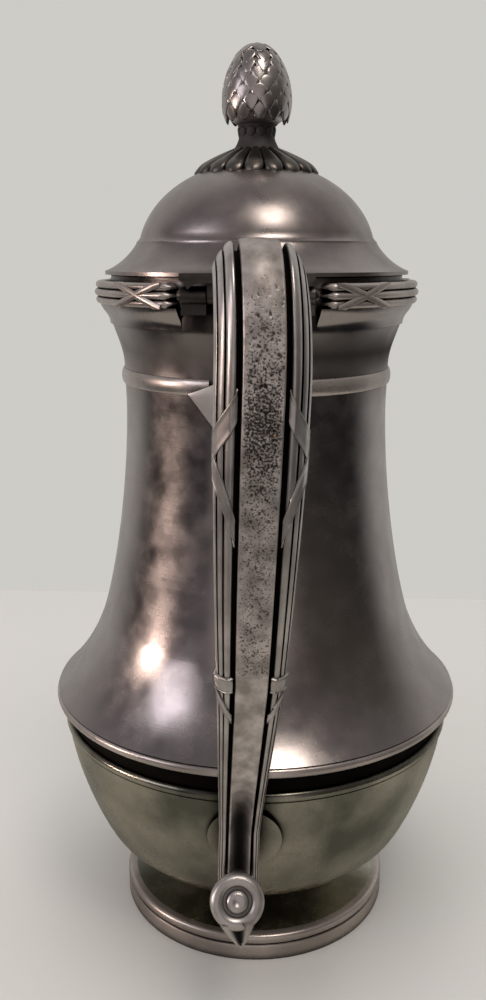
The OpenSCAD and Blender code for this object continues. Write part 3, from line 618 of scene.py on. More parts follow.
# %% Skin rings, join parts and repeat a part
def skin(name, rings, ends=True, loop=True):
    n = len(rings[0])
    points = [p * MM for ring in rings for p in ring]
    last = n if loop else n - 1
    faces = [(i * n + j, i * n + (j + 1) % n, (i + 1) * n + (j + 1) % n, (i + 1) * n + j)
             for i in range(len(rings) - 1) for j in range(last)]
    if ends:
        faces.append(tuple(range(n)))
        faces.append(tuple((len(rings) - 1) * n + j for j in range(n)))
    mesh = bpy.data.meshes.new(name)
    mesh.from_pydata(points, [], faces)
    piece = bpy.data.objects.new(name, mesh)
    bpy.context.scene.collection.objects.link(piece)
    return piece


def joined(name, pieces):
    nothing_selected()
    for piece in pieces:
        piece.select_set(True)
    bpy.context.view_layer.objects.active = pieces[0]
    bpy.ops.object.join()
    whole = bpy.context.object
    whole.name = name
    return whole


def placed_copy(source, place):
    copy = source.copy()
    copy.data = source.data.copy()
    copy.data.transform(place)
    bpy.context.scene.collection.objects.link(copy)
    return copy


print("skin() covers rings, joined() makes one piece of several, placed_copy() repeats a piece")

# %% [markdown]
# ## The reeded band
# A band of three reeds runs round the mouth and stops at the hinge, where each reed ends in a
# round tip. Flat ribbons cross over the reeds in five places. A reed is a half round turned
# through less than a full circle, and its two ends are drawn in to tips. A ribbon is a strip
# that climbs from the band's lower edge to its upper edge.

# %% Turn the reeds
band_gap = 26.0
reed_h = (reeds_high - reeds_low) / 3
reeds = []
for k in range(3):
    nose = band_r - 0.35 * abs(k - 1)
    low = reeds_low + k * reed_h
    outline = [Vector((mouth_r, low))] + bulge(nose - 1.0, low, low + reed_h, 1.0, 12)
    reed = lathe(f"reed_{k}", outline + [Vector((mouth_r, low + reed_h))], gap=band_gap, steps=180)
    middle = low + reed_h / 2
    for vertex in reed.data.vertices:
        angle = math.degrees(math.atan2(vertex.co.x, -vertex.co.y))
        past = 1 - min(1, (abs(angle) - band_gap) / 2.2)
        shrink = math.sqrt(max(0.0, 1 - (0.97 * past) ** 2))
        radius = math.hypot(vertex.co.x, vertex.co.y) / MM
        slim = mouth_r + (radius - mouth_r) * mix(0.45, 1, shrink)
        vertex.co.x *= slim / radius
        vertex.co.y *= slim / radius
        vertex.co.z = MM * (middle + (vertex.co.z / MM - middle) * shrink)
    reeds.append(reed)


print("reeds:", len(reeds))

# %% Lay the ribbons over the reeds
def band_ribbon(name, middle, rise, span=11.0, width=1.9):
    across = [(-1.0, -0.9), (-0.92, 0.12), (-0.5, 0.30), (0, 0.36), (0.5, 0.30), (0.92, 0.12), (1.0, -0.9)]
    rings = []
    for i in range(25):
        t = i / 24
        angle = math.radians(middle + mix(-span, span, t))
        height = mix(reeds_low - 0.1, reeds_high + 0.1, t if rise > 0 else 1 - t)
        ring_points = []
        for side, out in across:
            radius = band_r + out - 0.25
            z = min(max(height + side * width / 2, reeds_low - 0.2), reeds_high + 0.1)
            ring_points.append(Vector((radius * math.cos(angle), radius * math.sin(angle), z)))
        rings.append(ring_points)
    return skin(name, rings)


ribbon_places = (-130, -50, 25, 90, 155)
strips = []
for middle in ribbon_places:
    for rise in (-1, 1):
        strip = band_ribbon("strip", middle, rise)
        tidy_mesh(strip, 60)
        strips.append(strip)
band = joined("reeded_band", reeds + strips)
settle(band, "pot", "moulding_silver", "rim_band")
cove_line = curve((mouth_r + 0.5, cove_low), (mouth_r + 0.7, mix(cove_low, reeds_low, 0.5)),
                  (band_r - 1.9, mix(reeds_low, cove_low, 0.4)), (band_r - 1.4, reeds_low), 16)
cove = lathe("band_cove", [Vector((mouth_r, cove_low))] + cove_line + [Vector((mouth_r, reeds_low))],
             gap=band_gap - 2)
settle(cove, "pot", "neck_silver", "rim_cove")

# %% [markdown]
# ## The lid
# The lid is one spun dome over a hollow flange. Its edge is thin, then the flange climbs in a
# quarter hollow to a small step, and the dome rises from that step. It has a wall like the
# neck's, so it is hollow when the lid stands open.

# %% Spin the lid
lid_r = size_of("lid_cover")[1].x
lid_low = size_of("lid_cover")[0].z
dome_r = mouth_r - 7.3
lid_top = mouth_h + 29
dome_c = mouth_h + 4.8
lid_wall = 1.0
dome_start = math.asin(4.8 / (lid_top - dome_c))
stud_hole_r = 1.75
dome_end = math.acos(stud_hole_r / dome_r)


def dome_arc(inset, n=30):
    angles = [mix(dome_start, dome_end, i / n) for i in range(n + 1)]
    return [Vector(((dome_r - inset) * math.cos(a), dome_c + (lid_top - dome_c - inset) * math.sin(a)))
            for a in angles]


flange_top = Vector((dome_r + 0.4, mouth_h + 8.2))
flange = curve((lid_r, lid_low + 0.9), (lid_r - 3.7, lid_low + 2.1), flange_top + Vector((1.2, -2.2)),
               flange_top, 16)
step = [Vector((dome_r + 0.35, flange_top.y + 0.35)), Vector((dome_r + 0.05, flange_top.y + 0.55))]
lid_outer = [Vector((lid_r, lid_low))] + flange + step + dome_arc(0)
lid_inner = beside(flange, lid_wall)[2:] + dome_arc(lid_wall)
seat_r = mouth_r - wall - 0.4
lid = lathe("spun_lid", lid_outer + lid_inner[::-1]
            + [Vector((seat_r, lid_low + 0.9)), Vector((seat_r, lid_low))])
settle(lid, "lid", "lid_silver", "lid_cover")

# %% [markdown]
# ## The petal mound
# Under the finial sits a mound of eighteen round petals. One petal is a grid bent over the
# dome, crowned across and rounded at its outer end. It gets a thickness by an extrusion, and
# copies turned round the axis make the ring.

# %% Shape one petal and copy it
petals = 18
petal_r = 16.4
petal_in = 5.2
mound_rise = 1.5
stem_low = size_of("finial")[0].z


def dome_h(r):
    return dome_c + (lid_top - dome_c) * math.sqrt(1 - (r / dome_r) ** 2)


nothing_selected()
bpy.ops.mesh.primitive_grid_add(x_subdivisions=16, y_subdivisions=10, size=2)
petal = bpy.context.object
for vertex in petal.data.vertices:
    along_petal = (vertex.co.x + 1) / 2
    across = vertex.co.y
    r = mix(petal_in, petal_r, along_petal)
    half = r * math.tan(math.pi / petals) * 1.02
    end = max(0.0, (r - (petal_r - 3.0)) / 3.0)
    half *= math.sqrt(max(0.02, 1 - end ** 2.2))
    crown = math.sqrt(max(0.0, 1 - (0.97 * across) ** 2))
    rise = mix(stem_low + mound_rise - dome_h(petal_in), 1.6, along_petal ** 0.85) - 1.2 * end ** 3
    height = dome_h(min(r, petal_r - 0.3)) + rise - mix(0.7, 1.6, along_petal) * (1 - crown)
    vertex.co = MM * Vector((r, across * half, height))
bpy.ops.object.mode_set(mode="EDIT")
bpy.ops.mesh.select_all(action="SELECT")
bpy.ops.mesh.extrude_region_move(TRANSFORM_OT_translate={"value": (0, 0, -1.3 * MM)})
bpy.ops.object.mode_set(mode="OBJECT")
tidy_mesh(petal, 50)
ring_of_petals = []
for k in range(petals):
    ring_of_petals.append(placed_copy(petal, Matrix.Rotation(TAU * (k + 0.5) / petals, 4, "Z")))
bpy.data.objects.remove(petal)
core_line = [Vector((stud_hole_r, stem_low)), Vector((6.4, stem_low))]
core_line += [Vector((r, dome_h(r) + mix(2.2, 0.25, (r - 7) / 7.5))) for r in (7, 8.5, 10, 12, 14.5)]
core_line += [Vector((r, dome_h(r) + 0.02)) for r in (14.5, 11, 8, 5, stud_hole_r)]
core = lathe("mound_core", core_line)
mound = joined("petal_mound", [core] + ring_of_petals)
settle(mound, "lid", "finial_silver", "petal_collar")
mound.data.materials[0] = petal_silver

# %% [markdown]
# ## The pine cone
# The finial is a cast pine cone. Its scales hang with their points down and stand off the core,
# so each casts a small shadow. One scale is a low sphere drawn to a point. Rows of it go round
# the core, each row shifted by half a scale, and each copy is sized to the core's girth there.

# %% Model the core and one scale
cone_top = size_of("finial")[1].z
cone_h = 19.6
cone_low = cone_top - cone_h - 0.2
cone_r = 9.2
stem = curve((6.9, stem_low), (4.6, stem_low + 2.2), (4.4, stem_low + 4.4), (4.7, cone_low - 1.6), 12)
cone_side = curve((cone_r - 0.5, cone_low + 2), (cone_r + 1.1, cone_low + 0.33 * cone_h),
                  (cone_r - 0.9, cone_low + 0.88 * cone_h), (0.9, cone_low + cone_h), 24)
scale_proud = 0.6
cone_core = [p - Vector((scale_proud, 0)) for p in cone_side[:-1]]
core = lathe("cone_core", [Vector((0, stem_low))] + stem
             + [Vector((5.0, cone_low - 0.3)), Vector((cone_r - 2.6, cone_low + 0.7))]
             + cone_core + [Vector((0, cone_top - 0.5))], closed=False, steps=72)
nothing_selected()
bpy.ops.mesh.primitive_uv_sphere_add(segments=10, ring_count=8, radius=1)
cone_scale = bpy.context.object
for vertex in cone_scale.data.vertices:
    x, y, z = vertex.co
    down = max(0.0, -z)
    vertex.co = Vector((x * (1 - 0.50 * down), y * 0.42 + 0.26 * down, z * (1.25 if z < 0 else 0.9)))
tidy_mesh(cone_scale, 80)
print("one scale has", len(cone_scale.data.polygons), "faces")


# %% Hang the scales in rows
def core_at(height):
    for lower, upper in zip(cone_side, cone_side[1:]):
        if lower.y <= height <= upper.y:
            part = (height - lower.y) / (upper.y - lower.y)
            return mix(lower.x, upper.x, part), (upper - lower).normalized()
    return cone_side[0].x - 0.6, Vector((0, 1))


scales = []
rows = 8
for row in range(rows):
    height = cone_low + 2.6 + (cone_h - 4.4) * row / (rows - 1)
    radius, way = core_at(height)
    count = max(5, round(13 * min(1, (radius + 1.0) / cone_r)))
    half_width = math.pi * radius / count * 1.02
    tilt = math.atan2(-way.x, way.y)
    for k in range(count):
        turn = TAU * (k + 0.5 * (row % 2)) / count
        shape = Matrix.Diagonal((half_width * 1.06, 0.95, 2.1, 1))
        lean = Matrix.Rotation(tilt - 0.05, 4, "X")
        out = Matrix.Translation((0, radius - 0.52, height))
        facing = Matrix.Rotation(turn - math.pi / 2, 4, "Z")
        scales.append(placed_copy(cone_scale, Matrix.Scale(MM, 4) @ facing @ out @ lean @ shape))
tip_place = Matrix.Translation((0, 0, cone_top - 1.1)) @ Matrix.Diagonal((1.3, 1.6, 1.0, 1))
tip = placed_copy(cone_scale, Matrix.Scale(MM, 4) @ tip_place)
calyx = []
calyx_leaves = 11
for k in range(calyx_leaves):
    shape = Matrix.Diagonal((1.35, 1.1, 1.5, 1))
    place = Matrix.Translation((0, 4.5, cone_low - 2.2)) @ Matrix.Rotation(-0.25, 4, "X")
    turned = Matrix.Rotation(TAU * k / calyx_leaves, 4, "Z")
    calyx.append(placed_copy(cone_scale, Matrix.Scale(MM, 4) @ turned @ place @ shape))
bpy.data.objects.remove(cone_scale)
pine_cone = joined("pine_cone", [core, tip] + scales + calyx)
# Painted shade: the stem and calyx under the cone are painted dark.
blacken(pine_cone, lambda place: 0.75 if place.z < cone_low + 0.4 else 0)
settle(pine_cone, "lid", "finial_silver", "finial")

# %% [markdown]
# ## The handle's spine
# The handle is a long loop, and everything on it follows one line. A place on it is given by u,
# which counts the stretches from the upper root to the scroll, and by two distances across:
# sideways, and out from the spine. The same line carries the handle, its strap and its ribbons.

# %% Draw the spine
upper_root = Vector((waist_r + 5.8, mouth_h - 30.7))
lower_root_h = shoulder_h - 21.5
crest_h = mouth_h + 4.4
limb_h = crest_h - lower_root_h
bend_r = 4.8
bend_centre = Vector((shoulder_r + 6.7, lower_root_h - 4.2))
bend_end = 120
limb_foot = Vector((bend_centre.x - bend_r, lower_root_h + 6.5))
crest = Vector((mouth_r + 29.1, crest_h))
wide = Vector((shoulder_r + 22.8, crest_h - 0.17 * limb_h))
knee = Vector((shoulder_r + 12.54, lower_root_h + 50.2))
stretches = [
    (upper_root, upper_root + Vector((mouth_r - waist_r + 5.3, 9.5)), crest - Vector((16, 0)), crest),
    (crest, crest + Vector((9.5, 0)), wide + Vector((0.2, 0.092 * limb_h)), wide),
    (wide, wide - Vector((0.2, 0.12 * limb_h)), knee + limb_h * Vector((0.028, 0.141)), knee),
    (knee, knee - Vector((3.5, 17.5)), limb_foot + Vector((0.6, 12)), limb_foot),
]
half_widths = (4.6, 9.3, 9.7, 7.68, 5.0, 5.0)
half_depths = (3.4, 4.1, 4.0, 3.4, 2.8, 2.6)
strap_widths = (2.2, 4.1, 4.2, 3.61, 2.7, 2.5)
groove_widths = (0.5, 0.9, 0.9, 0.8, 0.45, 0.45)
sways = (0, -0.45, 0.45, 0.8, 0, 0)
strap_t = 1.5
handle_lean = math.radians(6.5)
upper_foot = Vector((0, -upper_root.x, upper_root.y))
lower_foot = Vector((0, -(groove_r + 1.1), lower_root_h))
offset_angle = math.atan(1.5 / (upper_root.y - lower_root_h))
leaning = (Matrix.Translation(upper_foot) @ Matrix.Rotation(offset_angle, 4, "Y")
           @ Matrix.Rotation(handle_lean, 4, upper_foot - lower_foot) @ Matrix.Translation(-upper_foot))


def spine(u):
    k = min(int(u), 4)
    t = u - k
    if k < 4:
        return bez(*stretches[k], t), slope(*stretches[k], t)
    a = math.radians(bend_end * t)
    return bend_centre + bend_r * Vector((-math.cos(a), -math.sin(a))), Vector((math.sin(a), -math.cos(a)))


def along(sizes, u):
    k = min(int(u), 4)
    t = min(u - k, 1)
    eased = t ** 1.6 if k == 2 else t ** 0.9 if k == 3 else t * t * (3 - 2 * t)
    return mix(sizes[k], sizes[k + 1], eased)


def on_handle(u, sideways, out):
    at, way = spine(u)
    at = at + out * Vector((-way.y, way.x))
    return leaning @ Vector((sideways + along(sways, u), -at.x, at.y))


def even_places(first, last, pitch):
    places = [first]
    fine = 400
    since = 0.0
    before = spine(first)[0]
    for i in range(1, int((last - first) * fine) + 1):
        u = first + i / fine
        here = spine(u)[0]
        since += (here - before).length
        before = here
        if since >= pitch:
            places.append(u)
            since = 0.0
    places.append(last)
    return places


print("the crest stands at", [round(v, 1) for v in on_handle(1, 0, 4.1)])

# %% [markdown]
# ## The reeded handle
# Across the handle, each side has a broad reed, a fine line, a second reed, another line and a
# thin edge, and a deep channel down the middle takes the strap. The section changes along the
# loop, so it is skinned station by station in mesh code, which the edit-mode tools can't do
# with this control.

# %% Shape the handle's section
channel_gap = 1.2


def channel_wall(u):
    return along(strap_widths, u) + channel_gap * along(groove_widths, u)


def rounded(start, end, out, n=7):
    points = []
    for i in range(n + 1):
        t = i / n
        base = start + (end - start) * (1 - math.cos(math.pi * t)) / 2
        points.append(base + Vector((0, out * math.sin(math.pi * t) ** 0.8)))
    return points


def reed_fall(u, outward):
    rounder = 1 - max(0.0, min(1, (u - 1.45) / 0.9))
    start = min(1, u / 0.5)
    return (0.5 + 2.4 * rounder) * start * max(0.0, outward) ** 1.7


def scroll_hollow(u):
    q = max(0.0, min(1, (u - 3.54) / 0.30))
    return q * q * (3 - 2 * q)


def reed_section(u):
    w = along(half_widths, u)
    t = along(half_depths, u)
    inner = channel_wall(u)
    side = w - inner
    sink = min(1, side / 3)
    a = inner + 0.5 * side
    b = inner + 0.82 * side
    floor_h = t - strap_t - 1.0 - 1.9 * scroll_hollow(u)
    line = [Vector((inner - 0.05, floor_h)), Vector((inner + 0.02, t - 1.0 * sink - 0.2))]
    line += rounded(Vector((inner + 0.04 * side, t - 0.95)),
                    Vector((a - 0.04 * side, t - 0.4 - 0.95 * sink)), 0.62 * sink, 8)
    line += [Vector((a, t - 0.4 - 1.65 * sink))]
    line += rounded(Vector((a + 0.04 * side, t - 0.4 - 1.05 * sink)),
                    Vector((b - 0.03 * side, t - 0.4 - 1.6 * sink)), 0.34 * sink, 6)
    line += [Vector((b, t - 0.4 - 2.25 * sink))]
    line += rounded(Vector((b + 0.05 * side, t - 0.4 - 1.75 * sink)),
                    Vector((w - 0.02, t - 0.4 - 2.6 * sink)), 0.15 * sink, 4)
    for point in line[1:]:
        point.y -= reed_fall(u, (point.x - inner) / side)
    edge_h = min(0.1, line[-1].y - 0.3)
    line += [Vector((w, edge_h)), Vector((w - 0.15, min(edge_h - 0.2, -0.3 * t))),
             Vector((w - 0.5, -0.66 * t)), Vector((w - 0.95, -0.86 * t)),
             Vector((w - 1.6, -0.97 * t)), Vector((w - 2.2, -t))]
    return line


print("half a section has", len(reed_section(2)), "points")

# %% Skin the handle
rings = []
for u in even_places(0, 5, 0.8):
    half = reed_section(u)
    ring_points = [(-p.x, p.y) for p in reversed(half)] + [(p.x, p.y) for p in half]
    rings.append([on_handle(u, x, y) for x, y in ring_points])
loop_handle = skin("handle_loop", rings)
tidy_mesh(loop_handle, 50)
print("stations", len(rings))

# %% [markdown]
# The channel beside the strap is painted black, as soot with painted shade. To paint it, each
# point of the mesh is carried back to the upright handle, the nearest place on the spine is
# found, and the point is black when it lies between the channel's walls and under its rim.

# %% Blacken the channel
back = leaning.inverted()
channel_line = [(u, spine(u)[0]) for u in even_places(0.02, 4.98, 1.5)]


def channel_black(place):
    here = back @ place
    flat = Vector((-here.y, here.z))
    u, at = min(channel_line, key=lambda stop: (stop[1] - flat).length_squared)
    way = spine(u)[1]
    height = (flat - at).dot(Vector((-way.y, way.x)))
    inner = channel_wall(u)
    between_walls = abs(here.x - along(sways, u)) < inner + 0.1
    under_rim = 0 < height < along(half_depths, u) - 0.9
    return 0.97 if between_walls and under_rim else 0


# Painted shade with soot: the channel beside the strap is painted black.
blacken(loop_handle, channel_black)
print("channel points:", sum(value.value > 0 for value in loop_handle.data.attributes["tarnish_and_shade"].data))

# %% [markdown]
# ## Ribbons round the handle
# Two ribbons are cast as if bound round the reeds. Each arm climbs from the channel's edge over
# the reeds and round the side to the back. It is a strip whose middle stands proud and whose
# edges sink into the reeds, laid along a line in the handle's own surface.

# %% Find the handle's surface and lay an arm on it
def over_reeds(u, v):
    w = along(half_widths, u)
    t = along(half_depths, u)
    inner = channel_wall(u)
    side = w - inner
    sink = min(1, side / 3)
    stops = [(-0.2, inner - 0.35, t - 0.75), (0, inner, t - 0.42),
             (0.25, inner + 0.24 * side, t - 0.18), (0.5, inner + 0.5 * side, t - 0.4 - 0.45 * sink),
             (0.8, inner + 0.82 * side, t - 0.4 - 1.3 * sink), (1.0, w + 0.02, t - 0.4 - 2.3 * sink),
             (1.3, w + 0.1, 0.0), (1.6, w - 0.4, -0.7 * t), (1.8, w - 1.6, -t)]
    stops = [(v0, x0, y0 - (reed_fall(u, v0) if v0 <= 1 else 0)) for v0, x0, y0 in stops]
    for (v0, x0, y0), (v1, x1, y1) in zip(stops, stops[1:]):
        if v <= v1:
            break
    q = (v - v0) / (v1 - v0)
    out = Vector((y0 - y1, x1 - x0)).normalized()
    return Vector((mix(x0, x1, q), mix(y0, y1, q))), out


def arm(side, start, end, width, height=0.42, steps=26):
    half_across = [(0.4, 0.72), (0.76, 0.55), (0.82, 0.95), (0.90, 1.0), (0.97, 0.7), (1.0, -1.0)]
    across = [(-shift, lift) for shift, lift in reversed(half_across)] + [(0, 0.8)] + half_across
    rings = []
    for i in range(steps + 1):
        t = i / steps
        u = mix(start[0], end[0], t)
        v = mix(start[1], end[1], t)
        reach = (spine(u + 0.02)[0] - spine(u - 0.02)[0]).length / 0.04
        ring_points = []
        for shift, lift in across:
            place_u = u + shift * width / 2 / reach
            at, out = over_reeds(place_u, v)
            at = at + out * (height * lift if lift > 0 else -0.9)
            ring_points.append(on_handle(place_u, side * at.x, at.y))
        rings.append(ring_points)
    piece = skin("arm", rings)
    tidy_mesh(piece, 60)
    return piece


print("the reeds' middle at the widest place:", [round(v, 2) for v in over_reeds(2, 0.5)[0]])

# %% Wind the ribbons
arms = []
for side in (-1, 1):
    arms.append(arm(side, (2.055, -0.1), (2.29, 1.7), 6.4, 0.09))
    arms.append(arm(side, (2.155, 1.7), (2.46, -0.1), 6.2, 0.17))
    arms.append(arm(side, (2.985, -0.1), (3.00, 1.7), 4.0))
    arms.append(arm(side, (3.02, 1.3), (3.16, -0.1), 2.6, 0.3))
foot_disc_m = leaning @ Matrix.Translation(lower_foot) @ Matrix.Rotation(math.pi / 2, 4, "X")
foot_disc = lathe("foot_disc", [Vector((0, 0)), Vector((3.6, 0)), Vector((3.6, 2.6)), Vector((0, 2.6))],
                  closed=False, steps=48)
foot_disc.data.transform(Matrix.Scale(MM, 4) @ foot_disc_m @ Matrix.Scale(1 / MM, 4))
handle_piece = joined("reeded_handle", [loop_handle, foot_disc] + arms)
settle(handle_piece, "pot", "handle_silver", "handle")

# %% [markdown]
# ## The pitted strap
# A plain strap lies in the channel. Its casting is porous: small pits crowd the side that faces
# the hand and stop at the second ribbon. Each pit is a dish pressed into a fine mesh, with a
# low rim. The random numbers have a fixed seed, so the pits never move. Near the scroll the
# strap's middle sinks between two ridges into a hollow painted black as shadow. At the crest it
# is rounder, but only past the place where the opened lid comes near.

# %% Shape the strap's section
hollow_deep = 2.9


def strap_line(u, n):
    b = along(strap_widths, u)
    t = along(half_depths, u)
    round_top = 0.9 * max(0.0, min(1, (u - 0.95) / 0.2)) * (1 - max(0.0, min(1, (u - 1.4) / 0.45)))
    crown = mix(round_top - 0.12, -hollow_deep, scroll_hollow(u))
    under = t - strap_t - 0.9 - 1.2 * scroll_hollow(u)
    line = [(-b, under), (-b, t - 0.55), (-b + 0.10, t - 0.24), (-b + 0.28, t - 0.12)]
    for j in range(n + 1):
        q = mix(-1, 1, j / n)
        x = q * (b - 0.42)
        line.append((x, t - 0.10 + (crown + 0.10) * (1 - q * q)))
    line += [(b - 0.28, t - 0.12), (b - 0.10, t - 0.24), (b, t - 0.55), (b, under)]
    return line


print("the strap's section has", len(strap_line(2, 34)), "points")

# %% Throw the pits
strap_end = 4.05
pitted_from = 1.36
pitted_to = 2.93
across_steps = 34
places = (even_places(0.05, pitted_from, 0.8) + even_places(pitted_from, pitted_to, 0.22)[1:]
          + even_places(pitted_to, strap_end, 0.8)[1:])
dice = random.Random(11)
pits = []
for i in range(420):
    u = mix(pitted_from + 0.12, pitted_to, dice.random() ** 0.9)
    crowd = 1 - 0.35 * abs(u - 2.1)
    q = dice.uniform(-0.9, 0.9)
    size = mix(0.15, 0.46, dice.random() ** 2.5) * crowd * (0.7 if q < -0.45 else 1)
    pits.append((u, q * along(strap_widths, u), size, dice.uniform(0.7, 1.6)))
pits.sort()
print("pits:", len(pits))

# %% [markdown]
# The strap's rings are close together where there are pits and far apart elsewhere. While a
# point is placed, its two paints are worked out as well: how thickly the strap is pocked there,
# and how dark it is painted: soot with painted shade in the pits, painted shadow in the hollow
# near the scroll, and tarnish on the crest.

# %% Skin the strap
rings = []
pocked = []
strap_tarnish_and_shade = []
first_near = 0
for u in places:
    reach = (spine(u + 0.02)[0] - spine(u - 0.02)[0]).length / 0.04
    window = 1.3 / reach
    while first_near < len(pits) and pits[first_near][0] < u - window:
        first_near += 1
    near = []
    for pit in pits[first_near:]:
        if pit[0] > u + window:
            break
        near.append(pit)
    ring_points = []
    b = along(strap_widths, u)
    for x, y in strap_line(u, across_steps):
        depth = 0.0
        rim = 0.0
        if abs(x) < b - 0.35:
            for pit_u, pit_x, size, squash in near:
                d = math.hypot((pit_u - u) * reach / squash, pit_x - x) / size
                if d < 1:
                    depth = max(depth, 0.85 * size * (1 - d * d))
                elif d < 1.35:
                    rim = max(rim, 0.05 * (1.35 - d) / 0.35)
        ring_points.append(on_handle(u, x, y - depth + (0 if depth else rim)))
        middle = 1 - min(1, abs(x) / b) ** 3
        crest_tarnish = 0.30 * (1 - max(0.0, min(1, (u - 1.25) / 0.35)))
        # Painted shadow: the hollow near the scroll is painted black; the pits get soot with painted shade,
        # the crest tarnish.
        strap_tarnish_and_shade.append(max(crest_tarnish, min(0.85, depth * 2.6), 0.97 * scroll_hollow(u - 0.08) * middle))
        from_edge = 1 - min(1, abs(x) / (b - 0.2)) ** 8
        thickest = 0.42 + 0.58 * math.exp(-((u - 2.12) / 0.20) ** 2)
        inside = min(1, max(0, (u - pitted_from) * 3)) * min(1, max(0, (pitted_to + 0.02 - u) * 60))
        pocked.append(inside * from_edge * thickest)
    rings.append(ring_points)
strap = skin("pitted_strap", rings)
for attribute_name, values in (("pitted", pocked), ("tarnish_and_shade", strap_tarnish_and_shade)):
    layer = strap.data.attributes.new(attribute_name, "FLOAT", "POINT")
    layer.data.foreach_set("value", values)
edit_all_of(strap)
bpy.ops.mesh.normals_make_consistent(inside=False)
bpy.ops.object.mode_set(mode="OBJECT")
bpy.ops.object.shade_smooth_by_angle(angle=math.radians(60))
settle(strap, "pot", "strap_silver", "handle_strap")

# %% [markdown]
# ## The scroll, its button and its leaf
# The handle's lower end curls under and is closed by a round collar with a button in it. A
# small folded leaf points down below the collar. The collar and the button are turned, then
# carried to the scroll's face. The leaf is skinned round a straight line, pressed in along the
# side that faces out.

# %% Turn the collar
scroll_face = spine(4.9999)[0]
collar_r = 6.5
collar_t = 3.6
to_scroll = (leaning @ Matrix.Translation(Vector((-0.6, -scroll_face.x, scroll_face.y)))
             @ Matrix.Rotation(math.radians(180 - bend_end), 4, "X"))


def carried(piece, place):
    piece.data.transform(Matrix.Scale(MM, 4) @ place @ Matrix.Scale(1 / MM, 4))
    return piece


collar_line = [Vector((0, 0.1)), Vector((collar_r - 0.6, 0.1)), Vector((collar_r - 0.1, 0.5))]
collar_line += [Vector((collar_r, 1.0)), Vector((collar_r, collar_t - 1.3))]
collar_line += [Vector((collar_r - 0.25, collar_t - 0.6)), Vector((collar_r - 0.9, collar_t - 0.12)),
                Vector((collar_r - 1.6, collar_t)), Vector((collar_r - 2.4, collar_t - 0.15)),
                Vector((3.65, collar_t - 0.5)), Vector((3.6, collar_t - 1.2)), Vector((0, collar_t - 1.2))]
collar = carried(lathe("collar", collar_line, closed=False, steps=72), to_scroll)

# %% Fold the leaf
leaf_m = (to_scroll @ Matrix.Translation((0, 3 - collar_r, 0.5 * collar_t))
          @ Matrix.Rotation(math.radians(bend_end + 6), 4, "X") @ Matrix.Rotation(math.radians(8), 4, "Y"))
rings = []
leaf_len = 9.6
facing_camera = leaf_m.inverted().to_3x3() @ Vector((0, -1, 0))
facing_angle = math.atan2(facing_camera.y, facing_camera.x)
for i in range(19):
    t = i / 18
    radius = 4.2 * (1 - t ** 1.25) + 0.25
    ring_points = []
    for j in range(40):
        a = TAU * j / 40
        off = math.remainder(a - facing_angle, TAU)
        pressed = radius * (1 - 0.85 * math.exp(-(off / 0.62) ** 4) * min(1, 4 * (1 - t)))
        ring_points.append(leaf_m @ Vector((pressed * math.cos(a), pressed * math.sin(a), leaf_len * t)))
    rings.append(ring_points)
leaf = skin("leaf", rings)
tidy_mesh(leaf, 45)
print("the leaf's tip is at", [round(v, 1) for v in leaf_m @ Vector((0, 0, leaf_len))])

# %% Blacken the leaf's fold and join it on
to_leaf = leaf_m.inverted()


# Painted shade: the leaf's pressed-in fold is painted black.
def leaf_black(place):
    here = to_leaf @ place
    t = max(0.0, min(1, here.z / leaf_len))
    full = 4.2 * (1 - t ** 1.25) + 0.25
    return 0.9 if t < 0.86 and math.hypot(here.x, here.y) < 0.62 * full else 0


blacken(leaf, leaf_black)
scroll = joined("scroll_collar", [collar, leaf])
settle(scroll, "pot", "handle_silver", "scroll_end")

# %% Turn the button
button_line = [Vector((0, 0)), Vector((2.65, 0)), Vector((2.65, 0.7))]
button_line += curve((2.65, 0.7), (2.5, 1.25), (1.9, 1.5), (1.3, 1.45), 6)[1:]
button_line += curve((1.3, 1.45), (0.9, 1.4), (0.5, 1.15), (0, 1.1), 5)[1:]
button = lathe("button", button_line, closed=False, steps=48)
carried(button, to_scroll @ Matrix.Translation((0, 0, collar_t - 1.2)))
settle(button, "pot", "handle_silver", "scroll_boss")

# %% [markdown]
# ## The spout
# The spout is a swan neck drawn from sheet, so it is a tube with a thin wall. Rings of the
# outer and inner radius are skinned along its line, up the outside and back down the inside.
# A rolled lip closes its mouth.

# %% Skin the spout
root_tilt = math.radians(34)
root_way = Vector((math.cos(root_tilt), math.sin(root_tilt)))
root_h = shoulder_h + 15
socket_len = 6


def neck_radius(height):
    for upper, lower in zip(neck_outer, neck_outer[1:]):
        if lower.y <= height <= upper.y and upper.y > lower.y:
            return mix(upper.x, lower.x, (upper.y - height) / (upper.y - lower.y))
    return shoulder_r


spout_start = Vector((neck_radius(root_h) - 0.9, root_h)) + socket_len * root_way
spout_tip = Vector((shoulder_r + 21.8, mouth_h - 10.2))
tip_way = Vector((0.62, 0.78)).normalized()
spout_mid = Vector((mix(spout_start.x, spout_tip.x, 0.6), mix(spout_start.y, spout_tip.y, 0.52)))
lower_half = (spout_start, spout_start + 15 * root_way, spout_mid - Vector((0, 18)), spout_mid)
upper_half = (spout_mid, spout_mid + Vector((0, 18)), spout_tip - 12 * tip_way, spout_tip)
spout_wall = 1.0


def spout_ring(t, thinner):
    half = lower_half if t < 0.5 else upper_half
    q = 2 * t if t < 0.5 else 2 * t - 1
    at = bez(*half, q)
    way = slope(*half, q)
    radius = mix(5.1, 12.6, (1 - t) ** 1.7) - thinner
    out = Vector((-way.y, way.x))
    ring_points = []
    for j in range(64):
        a = TAU * j / 64
        risen = at + out * radius * math.sin(a)
        ring_points.append(Vector((radius * math.cos(a), risen.x, risen.y)))
    return ring_points


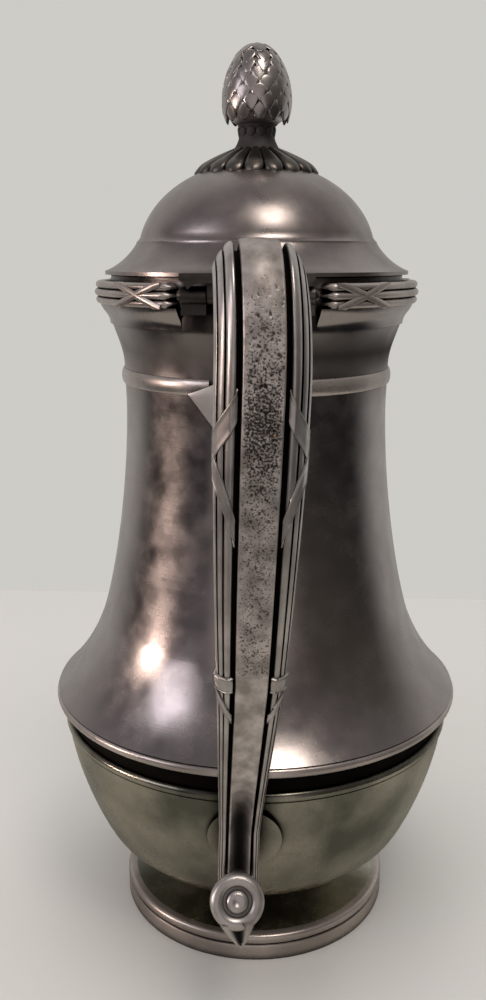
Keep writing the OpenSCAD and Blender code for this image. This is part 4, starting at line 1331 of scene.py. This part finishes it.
stops = [i / 56 for i in range(57)]
rings = [spout_ring(t, 0.0) for t in stops] + [spout_ring(t, spout_wall) for t in reversed(stops)]
rings.append(rings[0])
spout = skin("swan_spout", rings, ends=False)
tidy_mesh(spout, 50)
settle(spout, "pot", "neck_silver", "spout")

# %% Roll the lip
lip_line = [Vector((4.1, 0))] + bulge(5.0, 0, 1.8, 0.6, 12) + [Vector((4.1, 1.8))]
lip = lathe("spout_roll", lip_line, steps=64)
lip_turn = math.atan2(tip_way.y, tip_way.x) - math.pi / 2
carried(lip, Matrix.Translation((0, spout_tip.x, spout_tip.y)) @ Matrix.Rotation(lip_turn, 4, "X"))
settle(lip, "pot", "moulding_silver", "spout_lip")

# %% [markdown]
# ## Cast plates, socket and hinge
# These pieces already have their right shapes as solids. What they lack is a worn edge. A copy
# of each is merged, its flat triangles are dissolved, and a narrow bevel rounds every sharp
# edge, so that it catches the light as cast silver does.

# %% Wear the edges of the cast pieces
def worn_copy(name, node, radius):
    piece = frame["nodes"][node].copy()
    piece.data = frame["nodes"][node].data.copy()
    piece.name = name
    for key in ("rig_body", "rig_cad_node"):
        if key in piece:
            del piece[key]
    piece.parent = None
    bpy.context.scene.collection.objects.link(piece)
    edit_all_of(piece)
    bpy.ops.mesh.remove_doubles(threshold=0.000004)
    bpy.ops.mesh.dissolve_limited(angle_limit=math.radians(1.0))
    bpy.ops.object.mode_set(mode="OBJECT")
    bevel = piece.modifiers.new("worn_edge", "BEVEL")
    bevel.width = radius
    bevel.segments = 3
    bevel.limit_method = "ANGLE"
    bevel.angle_limit = math.radians(40)
    bevel.harden_normals = False
    bpy.ops.object.modifier_apply(modifier=bevel.name)
    bpy.ops.object.shade_smooth_by_angle(angle=math.radians(35))
    return piece


for name, node, radius, slot in (
        ("leaf_plate", "upper_plate", 0.00045, "handle_silver"),
        ("round_plate", "lower_plate", 0.0004, "bowl_silver"),
        ("spout_ferrule", "spout_socket", 0.0003, "moulding_silver"),
        ("hinge_bracket", "hinge_seat", 0.0002, "hinge_silver"),
        ("hinge_rod", "hinge_pin", 0.0002, "hinge_silver")):
    settle(worn_copy(name, node, radius), "pot", slot, node)
# Painted reflection: the leaf plate takes the near-white finish in place of the handle's.
bpy.data.objects["leaf_plate"].data.materials[0] = plate_reflection_silver
settle(worn_copy("hinge_apron", "hinge_leaf", 0.0002), "lid", "hinge_silver", "hinge_leaf")

# %% Give the pieces that stay as they are their finish
for node, slot in (("lid_bezel", "hinge_silver"), ("finial_stud", "fixing_brass"),
                   ("finial_washer", "fixing_brass"), ("finial_nut", "fixing_brass")):
    solid = frame["nodes"][node]
    solid.data.materials.clear()
    solid.data.materials.append(looks[slot])
    print(node, "is", slot)
